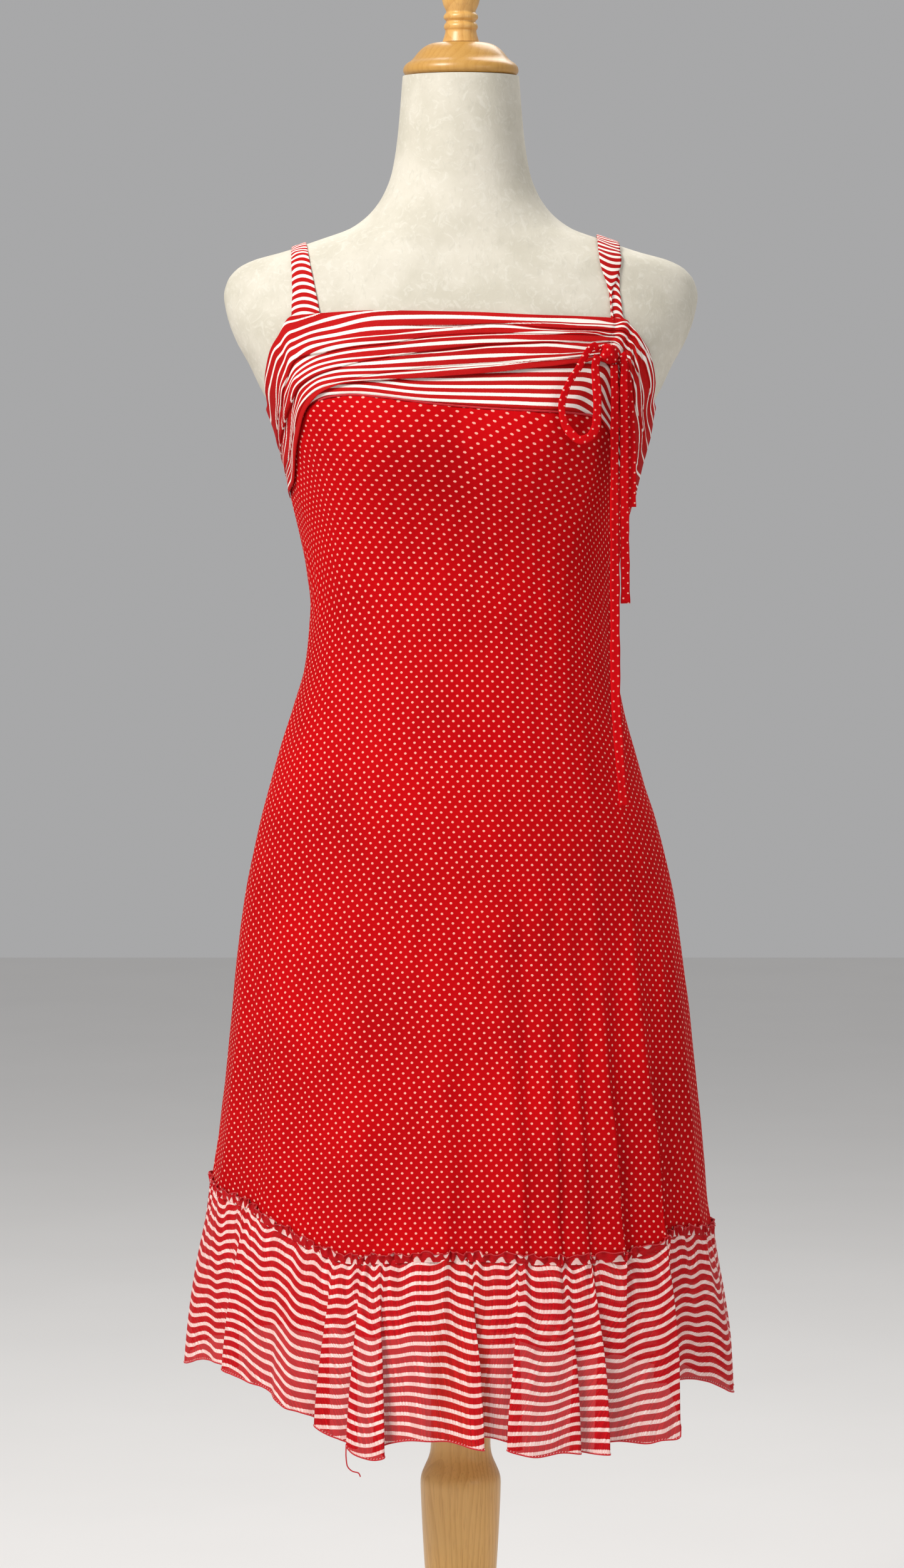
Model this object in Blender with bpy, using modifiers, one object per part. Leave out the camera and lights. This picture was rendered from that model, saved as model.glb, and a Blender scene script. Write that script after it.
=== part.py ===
"""A strappy polka dot dress on a limbless dress form with a turned wooden stand.

Metres, +Z up. The origin is the middle of the foot's underside. The front faces -Y, and +X is the viewer's
right. Angles run round the body from the front (0) towards +X (90), in degrees in the tables.
"""

import math

import bmesh
import bpy
import numpy as np

# Walls and clearances
JERSEY = 0.0012
CHIFFON = 0.0015
STRAP_WALL = 0.0016
RIBBON_WALL = 0.0016
SEAM_GAP = 0.0003
ARCH_GAP = 0.0006
CLOTH_REST = 0.0016
STRAP_REST = 0.0005
STRAP_CLEARANCE = 0.0008
OVERLAY_REST = 0.0016
SIDE_SEAM_ANGLE = 89.9
SHARP_EDGE_ANGLE = 40.0

# The figure, as outlines at heights. The corner is the outline's exponent, 2 for an ellipse.
FIGURE_COLUMNS = ("height", "half_width", "front", "back", "shift", "corner")
FIGURE = (
    (1.5150, 0.0480, 0.050, 0.050, 0.0000, 2.0),
    (1.4650, 0.0523, 0.053, 0.054, 0.0000, 2.0),
    (1.4360, 0.0570, 0.055, 0.059, 0.0000, 2.0),
    (1.4200, 0.0630, 0.057, 0.063, 0.0000, 2.0),
    (1.4060, 0.0720, 0.060, 0.067, 0.0000, 2.0),
    (1.3910, 0.0900, 0.063, 0.071, 0.0000, 2.0),
    (1.3810, 0.1170, 0.065, 0.073, 0.0000, 2.0),
    (1.3710, 0.1470, 0.067, 0.074, 0.0000, 2.0),
    (1.3640, 0.1720, 0.069, 0.075, 0.0000, 2.0),
    (1.3570, 0.1850, 0.071, 0.077, 0.0000, 2.0),
    (1.3470, 0.1930, 0.074, 0.080, 0.0000, 2.0),
    (1.3350, 0.1960, 0.078, 0.084, 0.0000, 2.0),
    (1.3170, 0.1930, 0.084, 0.088, 0.0000, 2.1),
    (1.2980, 0.1860, 0.092, 0.091, 0.0000, 2.1),
    (1.2780, 0.1750, 0.100, 0.094, 0.0000, 2.1),
    (1.2590, 0.1660, 0.106, 0.096, 0.0000, 2.1),
    (1.2430, 0.1580, 0.110, 0.097, 0.0000, 2.1),
    (1.2170, 0.1510, 0.112, 0.097, 0.0020, 2.1),
    (1.1910, 0.1440, 0.109, 0.095, 0.0020, 2.1),
    (1.1650, 0.1385, 0.103, 0.091, 0.0015, 2.1),
    (1.1390, 0.1325, 0.096, 0.087, 0.0015, 2.1),
    (1.1070, 0.1265, 0.090, 0.084, 0.0015, 2.1),
    (1.0810, 0.1240, 0.088, 0.084, 0.0020, 2.1),
    (1.0610, 0.1245, 0.088, 0.086, 0.0015, 2.1),
    (1.0280, 0.1270, 0.091, 0.092, 0.0000, 2.1),
    (0.9960, 0.1340, 0.095, 0.100, -0.0020, 2.1),
    (0.9630, 0.1440, 0.099, 0.109, -0.0030, 2.1),
    (0.9300, 0.1530, 0.103, 0.117, -0.0030, 2.1),
    (0.9040, 0.1610, 0.106, 0.122, -0.0020, 2.1),
    (0.8650, 0.1705, 0.110, 0.128, -0.0015, 2.1),
    (0.8250, 0.1780, 0.114, 0.131, -0.0010, 2.1),
    (0.7860, 0.1815, 0.116, 0.131, -0.0010, 2.1),
    (0.7500, 0.1790, 0.113, 0.127, 0.0000, 2.1),
    (0.7220, 0.1690, 0.105, 0.118, 0.0000, 2.1),
    (0.7060, 0.1550, 0.094, 0.106, 0.0000, 2.1),
    (0.7000, 0.1430, 0.084, 0.096, 0.0000, 2.1),
)
BUST_HEIGHT = 1.222
BUST_SPREAD = 0.072
BUST_WIDTH = 0.050
BUST_TALL = 0.052
BUST_RISE = 0.014

# The skirt below the hips, where the cloth hangs clear of the figure. Same columns, outer faces.
LOWEST_TOUCH = 0.80
SKIRT = (
    (0.7860, 0.1860, 0.121, 0.135, -0.0010, 2.1),
    (0.7330, 0.1920, 0.129, 0.140, 0.0000, 2.1),
    (0.6870, 0.1965, 0.135, 0.145, 0.0000, 2.1),
    (0.6540, 0.2005, 0.140, 0.149, 0.0000, 2.1),
    (0.6140, 0.2050, 0.145, 0.153, -0.0010, 2.1),
    (0.5820, 0.2085, 0.149, 0.157, -0.0020, 2.1),
    (0.5450, 0.2150, 0.155, 0.163, -0.0020, 2.1),
    (0.5050, 0.2215, 0.161, 0.169, -0.0010, 2.1),
    (0.4600, 0.2265, 0.165, 0.173, 0.0000, 2.1),
    (0.4100, 0.2290, 0.168, 0.176, 0.0000, 2.1),
)

# Edges of the pieces: the height of each edge at angles round the body.
EDGE_COLUMNS = ("angle", "height")
NECK_EDGE = (
    (-90.0, 1.2400),
    (-78.0, 1.2450),
    (-70.0, 1.2595),
    (-64.0, 1.2730),
    (-56.0, 1.2900),
    (-50.0, 1.3015),
    (-43.5, 1.3165),
    (-35.0, 1.3185),
    (-20.0, 1.3205),
    (0.0, 1.3195),
    (17.0, 1.3170),
    (32.0, 1.3157),
    (40.5, 1.3145),
    (46.0, 1.3062),
    (51.0, 1.2965),
    (58.5, 1.2820),
    (66.5, 1.2645),
    (74.0, 1.2490),
    (90.0, 1.2400),
)
FOLDED_EDGE = (
    (-90.0, 1.1695),
    (-72.0, 1.1780),
    (-64.0, 1.1985),
    (-56.0, 1.2190),
    (-48.0, 1.2365),
    (-40.0, 1.2490),
    (-30.5, 1.2573),
    (-19.0, 1.2630),
    (-5.5, 1.2682),
    (5.0, 1.2712),
    (21.0, 1.2746),
    (39.0, 1.2800),
    (46.0, 1.2600),
    (52.0, 1.2300),
    (61.0, 1.1895),
    (73.0, 1.1690),
    (90.0, 1.1660),
)
ARCH_EDGE = (
    (-90.0, 1.1680),
    (-72.0, 1.1722),
    (-64.0, 1.1970),
    (-56.0, 1.2173),
    (-48.0, 1.2349),
    (-41.0, 1.2475),
    (-31.0, 1.2533),
    (-23.0, 1.2520),
    (-6.0, 1.2473),
    (10.5, 1.2425),
    (29.0, 1.2400),
    (42.5, 1.2364),
    (47.0, 1.2279),
    (50.5, 1.2182),
    (61.0, 1.1879),
    (73.0, 1.1671),
    (90.0, 1.1640),
)
BACK_NECK_EDGE = ((90.0, 1.2400), (110.0, 1.2480), (140.0, 1.2600), (180.0, 1.2620), (220.0, 1.2600),
                  (250.0, 1.2480), (270.0, 1.2400))
NECK_EDGE_MIDDLE = 1.317
BACK_EDGE_MIDDLE = 1.258
BACK_BAND_EDGE = ((90.0, 1.1640), (270.0, 1.1680))
RUFFLE_SEAM = (
    (-90.0, 0.5980),
    (-55.0, 0.5900),
    (-43.0, 0.5760),
    (-34.0, 0.5640),
    (-24.0, 0.5540),
    (0.0, 0.5580),
    (22.0, 0.5530),
    (38.0, 0.5530),
    (46.0, 0.5600),
    (56.0, 0.5680),
    (78.0, 0.5660),
    (90.0, 0.5660),
    (135.0, 0.5640),
    (180.0, 0.5700),
    (225.0, 0.5860),
    (270.0, 0.5980),
)

# Ribs of the yoke: each runs from an angle on the neck edge to an angle on the lower edge.
RIB_COLUMNS = ("place", "top_angle", "low_angle", "fold_depth")
RIBS = (
    (0.00, -89.9, -89.9, 0.0005),
    (0.14, -62.0, -74.0, 0.0012),
    (0.28, -43.0, -50.0, 0.0020),
    (0.38, -30.0, -36.0, 0.0021),
    (0.52, -4.0, -6.0, 0.0021),
    (0.66, 20.0, 20.0, 0.0024),
    (0.78, 40.0, 39.5, 0.0028),
    (0.88, 60.0, 62.0, 0.0020),
    (1.00, 89.9, 89.9, 0.0007),
)
YOKE_FOLDS = 6
ROWS_IN_A_FOLD = 4

# Points of the grids, and how closely a panel's rows crowd towards its top.
FORM_SEGMENTS = 44
FOLDED_COLUMNS = 27
ARCH_COLUMNS = 41
BACK_COLUMNS = 29
FRONT_ROWS = 17
BACK_ROWS = 13
FRONT_BAND_ROWS = 6
BACK_BAND_ROWS = 5
STRAP_ROWS = 21
POINTS_ACROSS_STRAP = 3
RUFFLE_ROWS = (0.0, 0.4, 1.0)
STEPS_IN_A_WAVE = 5
PANEL_CROWDING = 1.4

# Soft flutes of the skirt: crest angle at the hips, crest angle at the ruffle seam, reach and width.
FLUTE_COLUMNS = ("hip_angle", "seam_angle", "rise", "width")
FLUTES = (
    (-72.0, -70.0, 0.0030, 5.0),
    (-54.0, -46.0, 0.0045, 6.0),
    (-29.0, -24.0, 0.0040, 7.0),
    (-6.0, -4.0, 0.0040, 4.5),
    (8.0, 11.0, 0.0045, 4.5),
    (21.5, 19.5, 0.0050, 4.0),
    (35.5, 31.0, 0.0045, 4.0),
    (51.0, 44.5, 0.0050, 4.5),
    (70.0, 66.0, 0.0035, 6.0),
    (104.0, 106.0, 0.0040, 6.0),
    (124.0, 121.0, 0.0045, 5.0),
    (143.0, 146.0, 0.0050, 5.0),
    (163.0, 160.0, 0.0040, 4.5),
    (181.0, 184.0, 0.0050, 5.0),
    (201.0, 199.0, 0.0040, 5.0),
    (222.0, 226.0, 0.0045, 5.5),
    (246.0, 243.0, 0.0040, 6.0),
)
FLUTE_TOP = 0.93
FLUTE_FULL = 0.62

# Waves of the ruffle, as crest angles, for the front and the back.
FRONT_CRESTS = (-90.0, -77.0, -66.0, -55.5, -45.0, -34.5, -24.5, -17.0, -8.0, 0.5, 10.0, 18.5, 28.0, 37.5, 46.0,
                57.0, 68.0, 79.0, 90.0)
BACK_CRESTS = (90.0, 102.0, 112.0, 124.0, 134.0, 143.0, 154.0, 163.0, 172.0, 183.0, 193.0, 202.0, 213.0, 222.0,
               233.0, 243.0, 252.0, 262.0, 270.0)
RUFFLE_DEPTH = 0.140
SEAM_WAVE = 0.0015
HEM_WAVE = 0.0095
WAVE_GROWTH = 0.8

# Straps, from the neck edge over the shoulder to the back band: widths and sideways places.
STRAP_COLUMNS = ("place", "across", "width")
LEFT_STRAP = ((0.0, -0.1270, 0.0225), (0.35, -0.1290, 0.0190), (1.0, -0.1335, 0.0125), (1.4, -0.1260, 0.0140),
              (2.0, -0.1010, 0.0180))
RIGHT_STRAP = ((0.0, 0.1270, 0.0090), (0.35, 0.1265, 0.0105), (1.0, 0.1240, 0.0185), (1.4, 0.1190, 0.0180),
               (2.0, 0.1010, 0.0180))
SHOULDER_HEIGHTS = (1.336, 1.405)
SHOULDER_SAMPLES = 200

# The tie: its knot, and routes chosen by hand with the ribbon's width at each place.
KNOT_CENTRE = (0.1195, -0.0952, 1.2860)
KNOT_SIZE = (0.0184, 0.0120, 0.0164)
KNOT_TURN = 39.5
KNOT_SEGMENTS = 14
KNOT_RINGS = 9
RIBBON_FACING = (0.35, -0.94, 0.0)
RIBBON_STEP = 0.010
RIBBON_LEAST_RINGS = 12
ROUTE_COLUMNS = ("x", "y", "z", "width")
LOOP_ROUTE = (
    (0.1117, -0.1010, 1.2893, 0.0058),
    (0.1075, -0.1020, 1.2925, 0.0060),
    (0.1030, -0.1045, 1.2885, 0.0060),
    (0.0948, -0.1085, 1.2745, 0.0056),
    (0.0861, -0.1135, 1.2607, 0.0056),
    (0.0810, -0.1170, 1.2431, 0.0062),
    (0.0830, -0.1190, 1.2305, 0.0066),
    (0.0881, -0.1190, 1.2225, 0.0070),
    (0.0962, -0.1180, 1.2165, 0.0072),
    (0.1042, -0.1160, 1.2195, 0.0074),
    (0.1093, -0.1135, 1.2305, 0.0075),
    (0.1098, -0.1115, 1.2481, 0.0075),
    (0.1090, -0.1090, 1.2632, 0.0075),
    (0.1082, -0.1065, 1.2758, 0.0072),
    (0.1105, -0.1040, 1.2845, 0.0066),
)
LONG_TAIL = (
    (0.1237, -0.0950, 1.2775, 0.0062),
    (0.1240, -0.0955, 1.2640, 0.0066),
    (0.1243, -0.0960, 1.2431, 0.0070),
    (0.1243, -0.0960, 1.1876, 0.0074),
    (0.1248, -0.0960, 1.1167, 0.0083),
    (0.1256, -0.0960, 1.0151, 0.0082),
    (0.1288, -0.0960, 0.9642, 0.0078),
    (0.1325, -0.0960, 0.9188, 0.0075),
)
MID_TAIL = (
    (0.1300, -0.0917, 1.2866, 0.0054),
    (0.1315, -0.0916, 1.2846, 0.0056),
    (0.1322, -0.0915, 1.2780, 0.0060),
    (0.1319, -0.0914, 1.2583, 0.0068),
    (0.1323, -0.0912, 1.2179, 0.0074),
    (0.1330, -0.0910, 1.1420, 0.0080),
    (0.1337, -0.0910, 1.0841, 0.0082),
)
SHORT_TAIL = (
    (0.1280, -0.0884, 1.2840, 0.0050),
    (0.1325, -0.0870, 1.2790, 0.0054),
    (0.1350, -0.0862, 1.2680, 0.0060),
    (0.1368, -0.0858, 1.2482, 0.0064),
    (0.1388, -0.0855, 1.2078, 0.0068),
    (0.1390, -0.0855, 1.1622, 0.0070),
)

# Turned wood: radius and height down each profile's outer side, and the steps round it.
CAP_STEPS = 32
FINIAL_STEPS = 20
POLE_STEPS = 24
FOOT_STEPS = 40
PROFILE_COLUMNS = ("radius", "height")
NECK_CAP = (
    (0.0000, 1.5425),
    (0.0285, 1.5425),
    (0.0330, 1.5392),
    (0.0375, 1.5350),
    (0.0385, 1.5310),
    (0.0445, 1.5290),
    (0.0478, 1.5262),
    (0.0482, 1.5225),
    (0.0465, 1.5180),
    (0.0440, 1.5153),
    (0.0000, 1.5153),
)
FINIAL = (
    (0.0000, 1.6220),
    (0.0050, 1.6205),
    (0.0105, 1.6120),
    (0.0152, 1.6000),
    (0.0170, 1.5880),
    (0.0150, 1.5780),
    (0.0112, 1.5715),
    (0.0135, 1.5692),
    (0.0142, 1.5663),
    (0.0118, 1.5632),
    (0.0138, 1.5606),
    (0.0138, 1.5580),
    (0.0122, 1.5556),
    (0.0128, 1.5490),
    (0.0150, 1.5428),
    (0.0000, 1.5428),
)
POLE = (
    (0.0000, 0.6997),
    (0.0250, 0.6997),
    (0.0250, 0.3730),
    (0.0262, 0.3640),
    (0.0300, 0.3540),
    (0.0335, 0.3455),
    (0.0338, 0.3390),
    (0.0322, 0.3000),
    (0.0270, 0.2200),
    (0.0235, 0.1500),
    (0.0240, 0.1050),
    (0.0300, 0.0870),
    (0.0390, 0.0780),
    (0.0390, 0.0703),
    (0.0000, 0.0703),
)
FOOT = (
    (0.0000, 0.0700),
    (0.0460, 0.0700),
    (0.0560, 0.0610),
    (0.0900, 0.0500),
    (0.1350, 0.0400),
    (0.1520, 0.0340),
    (0.1600, 0.0240),
    (0.1600, 0.0060),
    (0.1550, 0.0000),
    (0.0000, 0.0000),
)

# Colours: red, green and blue, roughness.
PADDING_CLOTH = ("Padding cloth", (0.80, 0.77, 0.66), 0.90)
PINE = ("Pine", (0.72, 0.42, 0.14), 0.40)
DOTTED_JERSEY = ("Dotted jersey", (0.72, 0.01, 0.02), 0.80)
STRIPED_JERSEY = ("Striped jersey", (0.80, 0.30, 0.28), 0.80)
STRIPED_CHIFFON = ("Striped chiffon", (0.82, 0.36, 0.33), 0.70)
DOTTED_RIBBON = ("Dotted ribbon", (0.75, 0.02, 0.03), 0.75)


def clear_scene():
    for obj in list(bpy.data.objects):
        bpy.data.objects.remove(obj, do_unlink=True)


def new_collection(name):
    collection = bpy.data.collections.new(name)
    bpy.context.scene.collection.children.link(collection)
    return collection


def make_material(name, colour, roughness):
    material = bpy.data.materials.new(name)
    material.use_nodes = True
    shader = material.node_tree.nodes["Principled BSDF"]
    shader.inputs["Base Color"].default_value = (*colour, 1.0)
    shader.inputs["Roughness"].default_value = roughness
    shader.inputs["Metallic"].default_value = 0.0
    return material


def smooth(places, values, at):
    """A smooth curve through the points that never swings past two neighbours."""
    places = np.asarray(places, float)
    values = np.asarray(values, float)
    order = np.argsort(places)
    places = places[order]
    values = values[order]
    slope = np.diff(values) / np.diff(places)
    same_way = slope[:-1] * slope[1:] > 0
    total = np.where(same_way, slope[:-1] + slope[1:], 1.0)
    inner = np.where(same_way, 2 * slope[:-1] * slope[1:] / total, 0.0)
    tangent = np.concatenate([slope[:1], inner, slope[-1:]])
    at = np.clip(at, places[0], places[-1])
    index = np.clip(np.searchsorted(places, at) - 1, 0, len(slope) - 1)
    width = places[index + 1] - places[index]
    t = (at - places[index]) / width
    ends = values[index] * (1 + 2 * t) * (1 - t) ** 2 + values[index + 1] * t * t * (3 - 2 * t)
    return ends + width * t * (1 - t) * (tangent[index] * (1 - t) - tangent[index + 1] * t)


def column(rows, columns, name):
    """One named column of a table."""
    place = columns.index(name)
    return [row[place] for row in rows]


def edge_height(edge, degrees):
    return smooth(column(edge, EDGE_COLUMNS, "angle"), column(edge, EDGE_COLUMNS, "height"), degrees)


def outline(rows, name, height):
    """One measure of the figure's outlines, such as the half width, at these heights."""
    return smooth(column(rows, FIGURE_COLUMNS, "height"), column(rows, FIGURE_COLUMNS, name), height)


def rib_angle(name, place):
    """An angle, or the depth of the folds, at these places across the yoke."""
    return smooth(column(RIBS, RIB_COLUMNS, "place"), column(RIBS, RIB_COLUMNS, name), place)


def grown(rows, ease):
    """The same outlines, each made larger all round."""
    return tuple((z, half + ease, front + ease, back + ease, shift, corner)
                 for z, half, front, back, shift, corner in rows)


def on_body(rows, degrees, height):
    """The points of the outlines at these angles and heights."""
    half = outline(rows, "half_width", height)
    corner = outline(rows, "corner", height)
    angle = np.radians(degrees)
    sine = np.sin(angle)
    cosine = np.cos(angle)
    x = half * np.sign(sine) * np.abs(sine) ** (2 / corner)
    depth = np.where(cosine > 0, outline(rows, "front", height), outline(rows, "back", height))
    y = -depth * np.sign(cosine) * np.abs(cosine) ** (2 / corner)
    tall = np.exp(-(((height - BUST_HEIGHT) / BUST_TALL) ** 2))
    wide = np.exp(-(((np.abs(x) - BUST_SPREAD) / BUST_WIDTH) ** 2))
    y = y - BUST_RISE * tall * wide * np.sqrt(np.clip(cosine, 0, 1))
    return np.stack(np.broadcast_arrays(x + outline(rows, "shift", height), y, height), axis=-1)


def lifted(rows, degrees, height, out):
    """The points moved out from the body, square to its surface."""
    degrees, height, out = np.broadcast_arrays(degrees, height, out)
    nudge_degrees = 0.006
    nudge_height = 0.0001
    around = on_body(rows, degrees + nudge_degrees, height) - on_body(rows, degrees - nudge_degrees, height)
    upward = on_body(rows, degrees, height + nudge_height) - on_body(rows, degrees, height - nudge_height)
    normal = np.cross(around, upward)
    normal = normal / np.linalg.norm(normal, axis=-1, keepdims=True)
    return on_body(rows, degrees, height) + normal * out[..., None]


DRESS = tuple(row for row in grown(FIGURE, CLOTH_REST + JERSEY) if row[0] > LOWEST_TOUCH) + SKIRT


def link_mesh(name, mesh, collection, material):
    obj = bpy.data.objects.new(name, mesh)
    collection.objects.link(obj)
    mesh.materials.append(material)
    mesh.shade_smooth()
    mesh.set_sharp_from_angle(angle=math.radians(SHARP_EDGE_ANGLE))
    return obj


def grid_faces(rows, columns, first=0):
    """Quads of a grid whose rows run downwards and whose columns run towards +X, seen from outside."""
    faces = []
    for row in range(rows - 1):
        for place in range(columns - 1):
            corner = first + row * columns + place
            faces.append((corner, corner + columns, corner + columns + 1, corner + 1))
    return faces


def make_sheet(name, points, wall, collection, material):
    """An open grid of outer points, thickened inwards."""
    rows, columns = points.shape[:2]
    mesh = bpy.data.meshes.new(name)
    mesh.from_pydata([tuple(point) for point in points.reshape(-1, 3)], [], grid_faces(rows, columns))
    obj = link_mesh(name, mesh, collection, material)
    solidify = obj.modifiers.new("Wall", "SOLIDIFY")
    solidify.thickness = wall
    solidify.offset = -1.0
    solidify.use_rim = True
    return obj


def rim_faces(rows, columns, inner_first):
    """Quads that close the border between an outer grid and an inner grid of the same shape."""
    border = list(range(columns))
    border += [row * columns + columns - 1 for row in range(1, rows)]
    border += [(rows - 1) * columns + place for place in range(columns - 2, -1, -1)]
    border += [row * columns for row in range(rows - 2, 0, -1)]
    faces = []
    for here, there in zip(border, border[1:] + border[:1]):
        faces.append((here, there, inner_first + there, inner_first + here))
    return faces


def make_relief(name, outer, inner, collection, material):
    """A closed loft with relief on its outer side over a plain inner side."""
    rows, columns = outer.shape[:2]
    count = rows * columns
    vertices = [tuple(point) for point in np.concatenate([outer.reshape(-1, 3), inner.reshape(-1, 3)])]
    faces = grid_faces(rows, columns)
    faces += [face[::-1] for face in grid_faces(rows, columns, count)]
    faces += rim_faces(rows, columns, count)
    mesh = bpy.data.meshes.new(name)
    mesh.from_pydata(vertices, [], faces)
    return link_mesh(name, mesh, collection, material)


def make_turned(name, profile, steps, collection, material):
    """A turned piece: the profile runs down its outer side and is swept round the upright axis."""
    mesh = bpy.data.meshes.new(name)
    radii = column(profile, PROFILE_COLUMNS, "radius")
    heights = column(profile, PROFILE_COLUMNS, "height")
    points = [(radius, 0.0, height) for radius, height in zip(radii, heights)]
    edges = [(place, place + 1) for place in range(len(points) - 1)]
    mesh.from_pydata(points, edges, [])
    obj = bpy.data.objects.new(name, mesh)
    collection.objects.link(obj)
    mesh.materials.append(material)
    screw = obj.modifiers.new("Turning", "SCREW")
    screw.axis = "Z"
    screw.steps = steps
    screw.render_steps = steps
    screw.use_merge_vertices = True
    screw.merge_threshold = 0.00005
    screw.use_smooth_shade = True
    return obj


def make_form_body(collection):
    """The padded body, one ring of points at each of the figure's heights, closed above and below."""
    heights = np.array(column(FIGURE, FIGURE_COLUMNS, "height"))
    degrees = np.arange(FORM_SEGMENTS) * 360.0 / FORM_SEGMENTS
    rings = on_body(FIGURE, degrees[None, :], heights[:, None])
    mesh = bpy.data.meshes.new("form_body")
    shell = bmesh.new()
    loops = [[shell.verts.new(point) for point in ring] for ring in rings]
    for above, below in zip(loops, loops[1:]):
        for place in range(FORM_SEGMENTS):
            nearby = (place + 1) % FORM_SEGMENTS
            shell.faces.new((above[place], below[place], below[nearby], above[nearby]))
    shell.faces.new(loops[0])
    shell.faces.new(loops[-1][::-1])
    shell.to_mesh(mesh)
    shell.free()
    return link_mesh("form_body", mesh, collection, make_material(*PADDING_CLOTH))


def flute_rise(degrees, height):
    """How far the skirt's soft flutes stand out at these places."""
    fall = np.clip((FLUTE_TOP - height) / (FLUTE_TOP - FLUTE_FULL), 0, 1)
    fade = fall * fall * (3 - 2 * fall)
    rise = np.zeros(np.broadcast(degrees, height).shape)
    for row in FLUTES:
        flute = dict(zip(FLUTE_COLUMNS, row))
        crest = flute["hip_angle"] + (flute["seam_angle"] - flute["hip_angle"]) * fall
        apart = (degrees - crest + 180.0) % 360.0 - 180.0
        rise = rise + flute["rise"] * np.exp(-((apart / flute["width"]) ** 2))
    return rise * fade


def panel_grid(top_edge, low_edge, degrees, row_count, top_gap, low_gap):
    """Angles and heights of a panel between two edges, rows running down and closer at the top."""
    share = np.linspace(0.0, 1.0, row_count)[:, None] ** PANEL_CROWDING
    top = edge_height(top_edge, degrees) - top_gap
    low = edge_height(low_edge, degrees) + low_gap
    height = top + (low - top) * share
    return np.broadcast_to(degrees, height.shape), height


def make_dress_panels(collection):
    """The dotted front and back, from the yoke and the back band down to the ruffle seam."""
    material = make_material(*DOTTED_JERSEY)
    front_degrees = rib_angle("low_angle", np.linspace(0.0, 1.0, ARCH_COLUMNS))
    back_degrees = np.linspace(180 - SIDE_SEAM_ANGLE, 180 + SIDE_SEAM_ANGLE, BACK_COLUMNS)
    panels = (
        ("dress_front", ARCH_EDGE, front_degrees, FRONT_ROWS, ARCH_GAP),
        ("dress_back", BACK_BAND_EDGE, back_degrees, BACK_ROWS, SEAM_GAP),
    )
    for name, top_edge, degrees, row_count, top_gap in panels:
        angle, height = panel_grid(top_edge, RUFFLE_SEAM, degrees, row_count, top_gap, SEAM_GAP)
        points = lifted(DRESS, angle, height, flute_rise(angle, height))
        make_sheet(name, points, JERSEY, collection, material)


def wall_inside(outer, plain_inner):
    """Inner points one wall inside a wavy surface, square to it. The two end columns keep the plain ones."""
    around = np.gradient(outer, axis=1)
    upward = -np.gradient(outer, axis=0)
    normal = np.cross(around, upward)
    normal = normal / np.linalg.norm(normal, axis=-1, keepdims=True)
    inner = outer - normal * CHIFFON
    inner[:, 0] = plain_inner[:, 0]
    inner[:, -1] = plain_inner[:, -1]
    return inner


def make_ruffles(collection):
    """The gathered hem, in even steps from crest to crest so that each wave has the same points."""
    material = make_material(*STRIPED_CHIFFON)
    share = np.array(RUFFLE_ROWS)[:, None]
    for name, crests in (("ruffle_front", FRONT_CRESTS), ("ruffle_back", BACK_CRESTS)):
        count = (len(crests) - 1) * STEPS_IN_A_WAVE
        wave = np.linspace(0.0, len(crests) - 1, count + 1)
        degrees = np.interp(wave, range(len(crests)), crests)
        limit = 90.0 - SIDE_SEAM_ANGLE
        degrees = np.clip(degrees, crests[0] + limit, crests[-1] - limit)
        seam = edge_height(RUFFLE_SEAM, degrees)
        height = seam - SEAM_GAP - RUFFLE_DEPTH * share
        swing = SEAM_WAVE + (HEM_WAVE - SEAM_WAVE) * share ** WAVE_GROWTH
        out = swing * np.cos(2 * np.pi * wave)
        out = out + flute_rise(degrees, seam) * (1 - share)
        degrees = np.broadcast_to(degrees, height.shape)
        outer = lifted(DRESS, degrees, height, out)
        plain_inner = lifted(DRESS, degrees, height, out - CHIFFON)
        inner = wall_inside(outer, plain_inner)
        inner[..., 2] = height
        make_relief(name, outer, inner, collection, material)


def rib_grid(low_edge, column_count, row_count):
    """Places on the yoke, angles and heights, along ribs from the neck edge to a lower edge."""
    place = np.linspace(0.0, 1.0, column_count)
    share = np.linspace(0.0, 1.0, row_count)[:, None]
    top_angle = rib_angle("top_angle", place)
    low_angle = rib_angle("low_angle", place)
    top = edge_height(NECK_EDGE, top_angle)
    low = edge_height(low_edge, low_angle)
    return place, share, top_angle + (low_angle - top_angle) * share, top + (low - top) * share


def make_yoke(collection):
    """The flat striped front yoke and the folded overlay gathered on it."""
    material = make_material(*STRIPED_JERSEY)
    _, _, angle, height = rib_grid(ARCH_EDGE, ARCH_COLUMNS, FRONT_BAND_ROWS)
    make_sheet("bust_band", lifted(DRESS, angle, height, 0.0), JERSEY, collection, material)

    place, share, angle, height = rib_grid(FOLDED_EDGE, FOLDED_COLUMNS, ROWS_IN_A_FOLD * YOKE_FOLDS + 1)
    depth = rib_angle("fold_depth", place)
    roll = depth * (1 - np.cos(2 * np.pi * YOKE_FOLDS * share))
    inner = lifted(DRESS, angle, height, OVERLAY_REST)
    outer = lifted(DRESS, angle, height, OVERLAY_REST + JERSEY + roll)
    make_relief("bust_drape", outer, inner, collection, make_material(*STRIPED_JERSEY))


def make_back_band(collection):
    degrees = np.linspace(180 - SIDE_SEAM_ANGLE, 180 + SIDE_SEAM_ANGLE, BACK_COLUMNS)
    angle, height = panel_grid(BACK_NECK_EDGE, BACK_BAND_EDGE, degrees, BACK_BAND_ROWS, 0.0, 0.0)
    points = lifted(DRESS, angle, height, 0.0)
    make_sheet("back_band", points, JERSEY, collection, make_material(*STRIPED_JERSEY))


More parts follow.
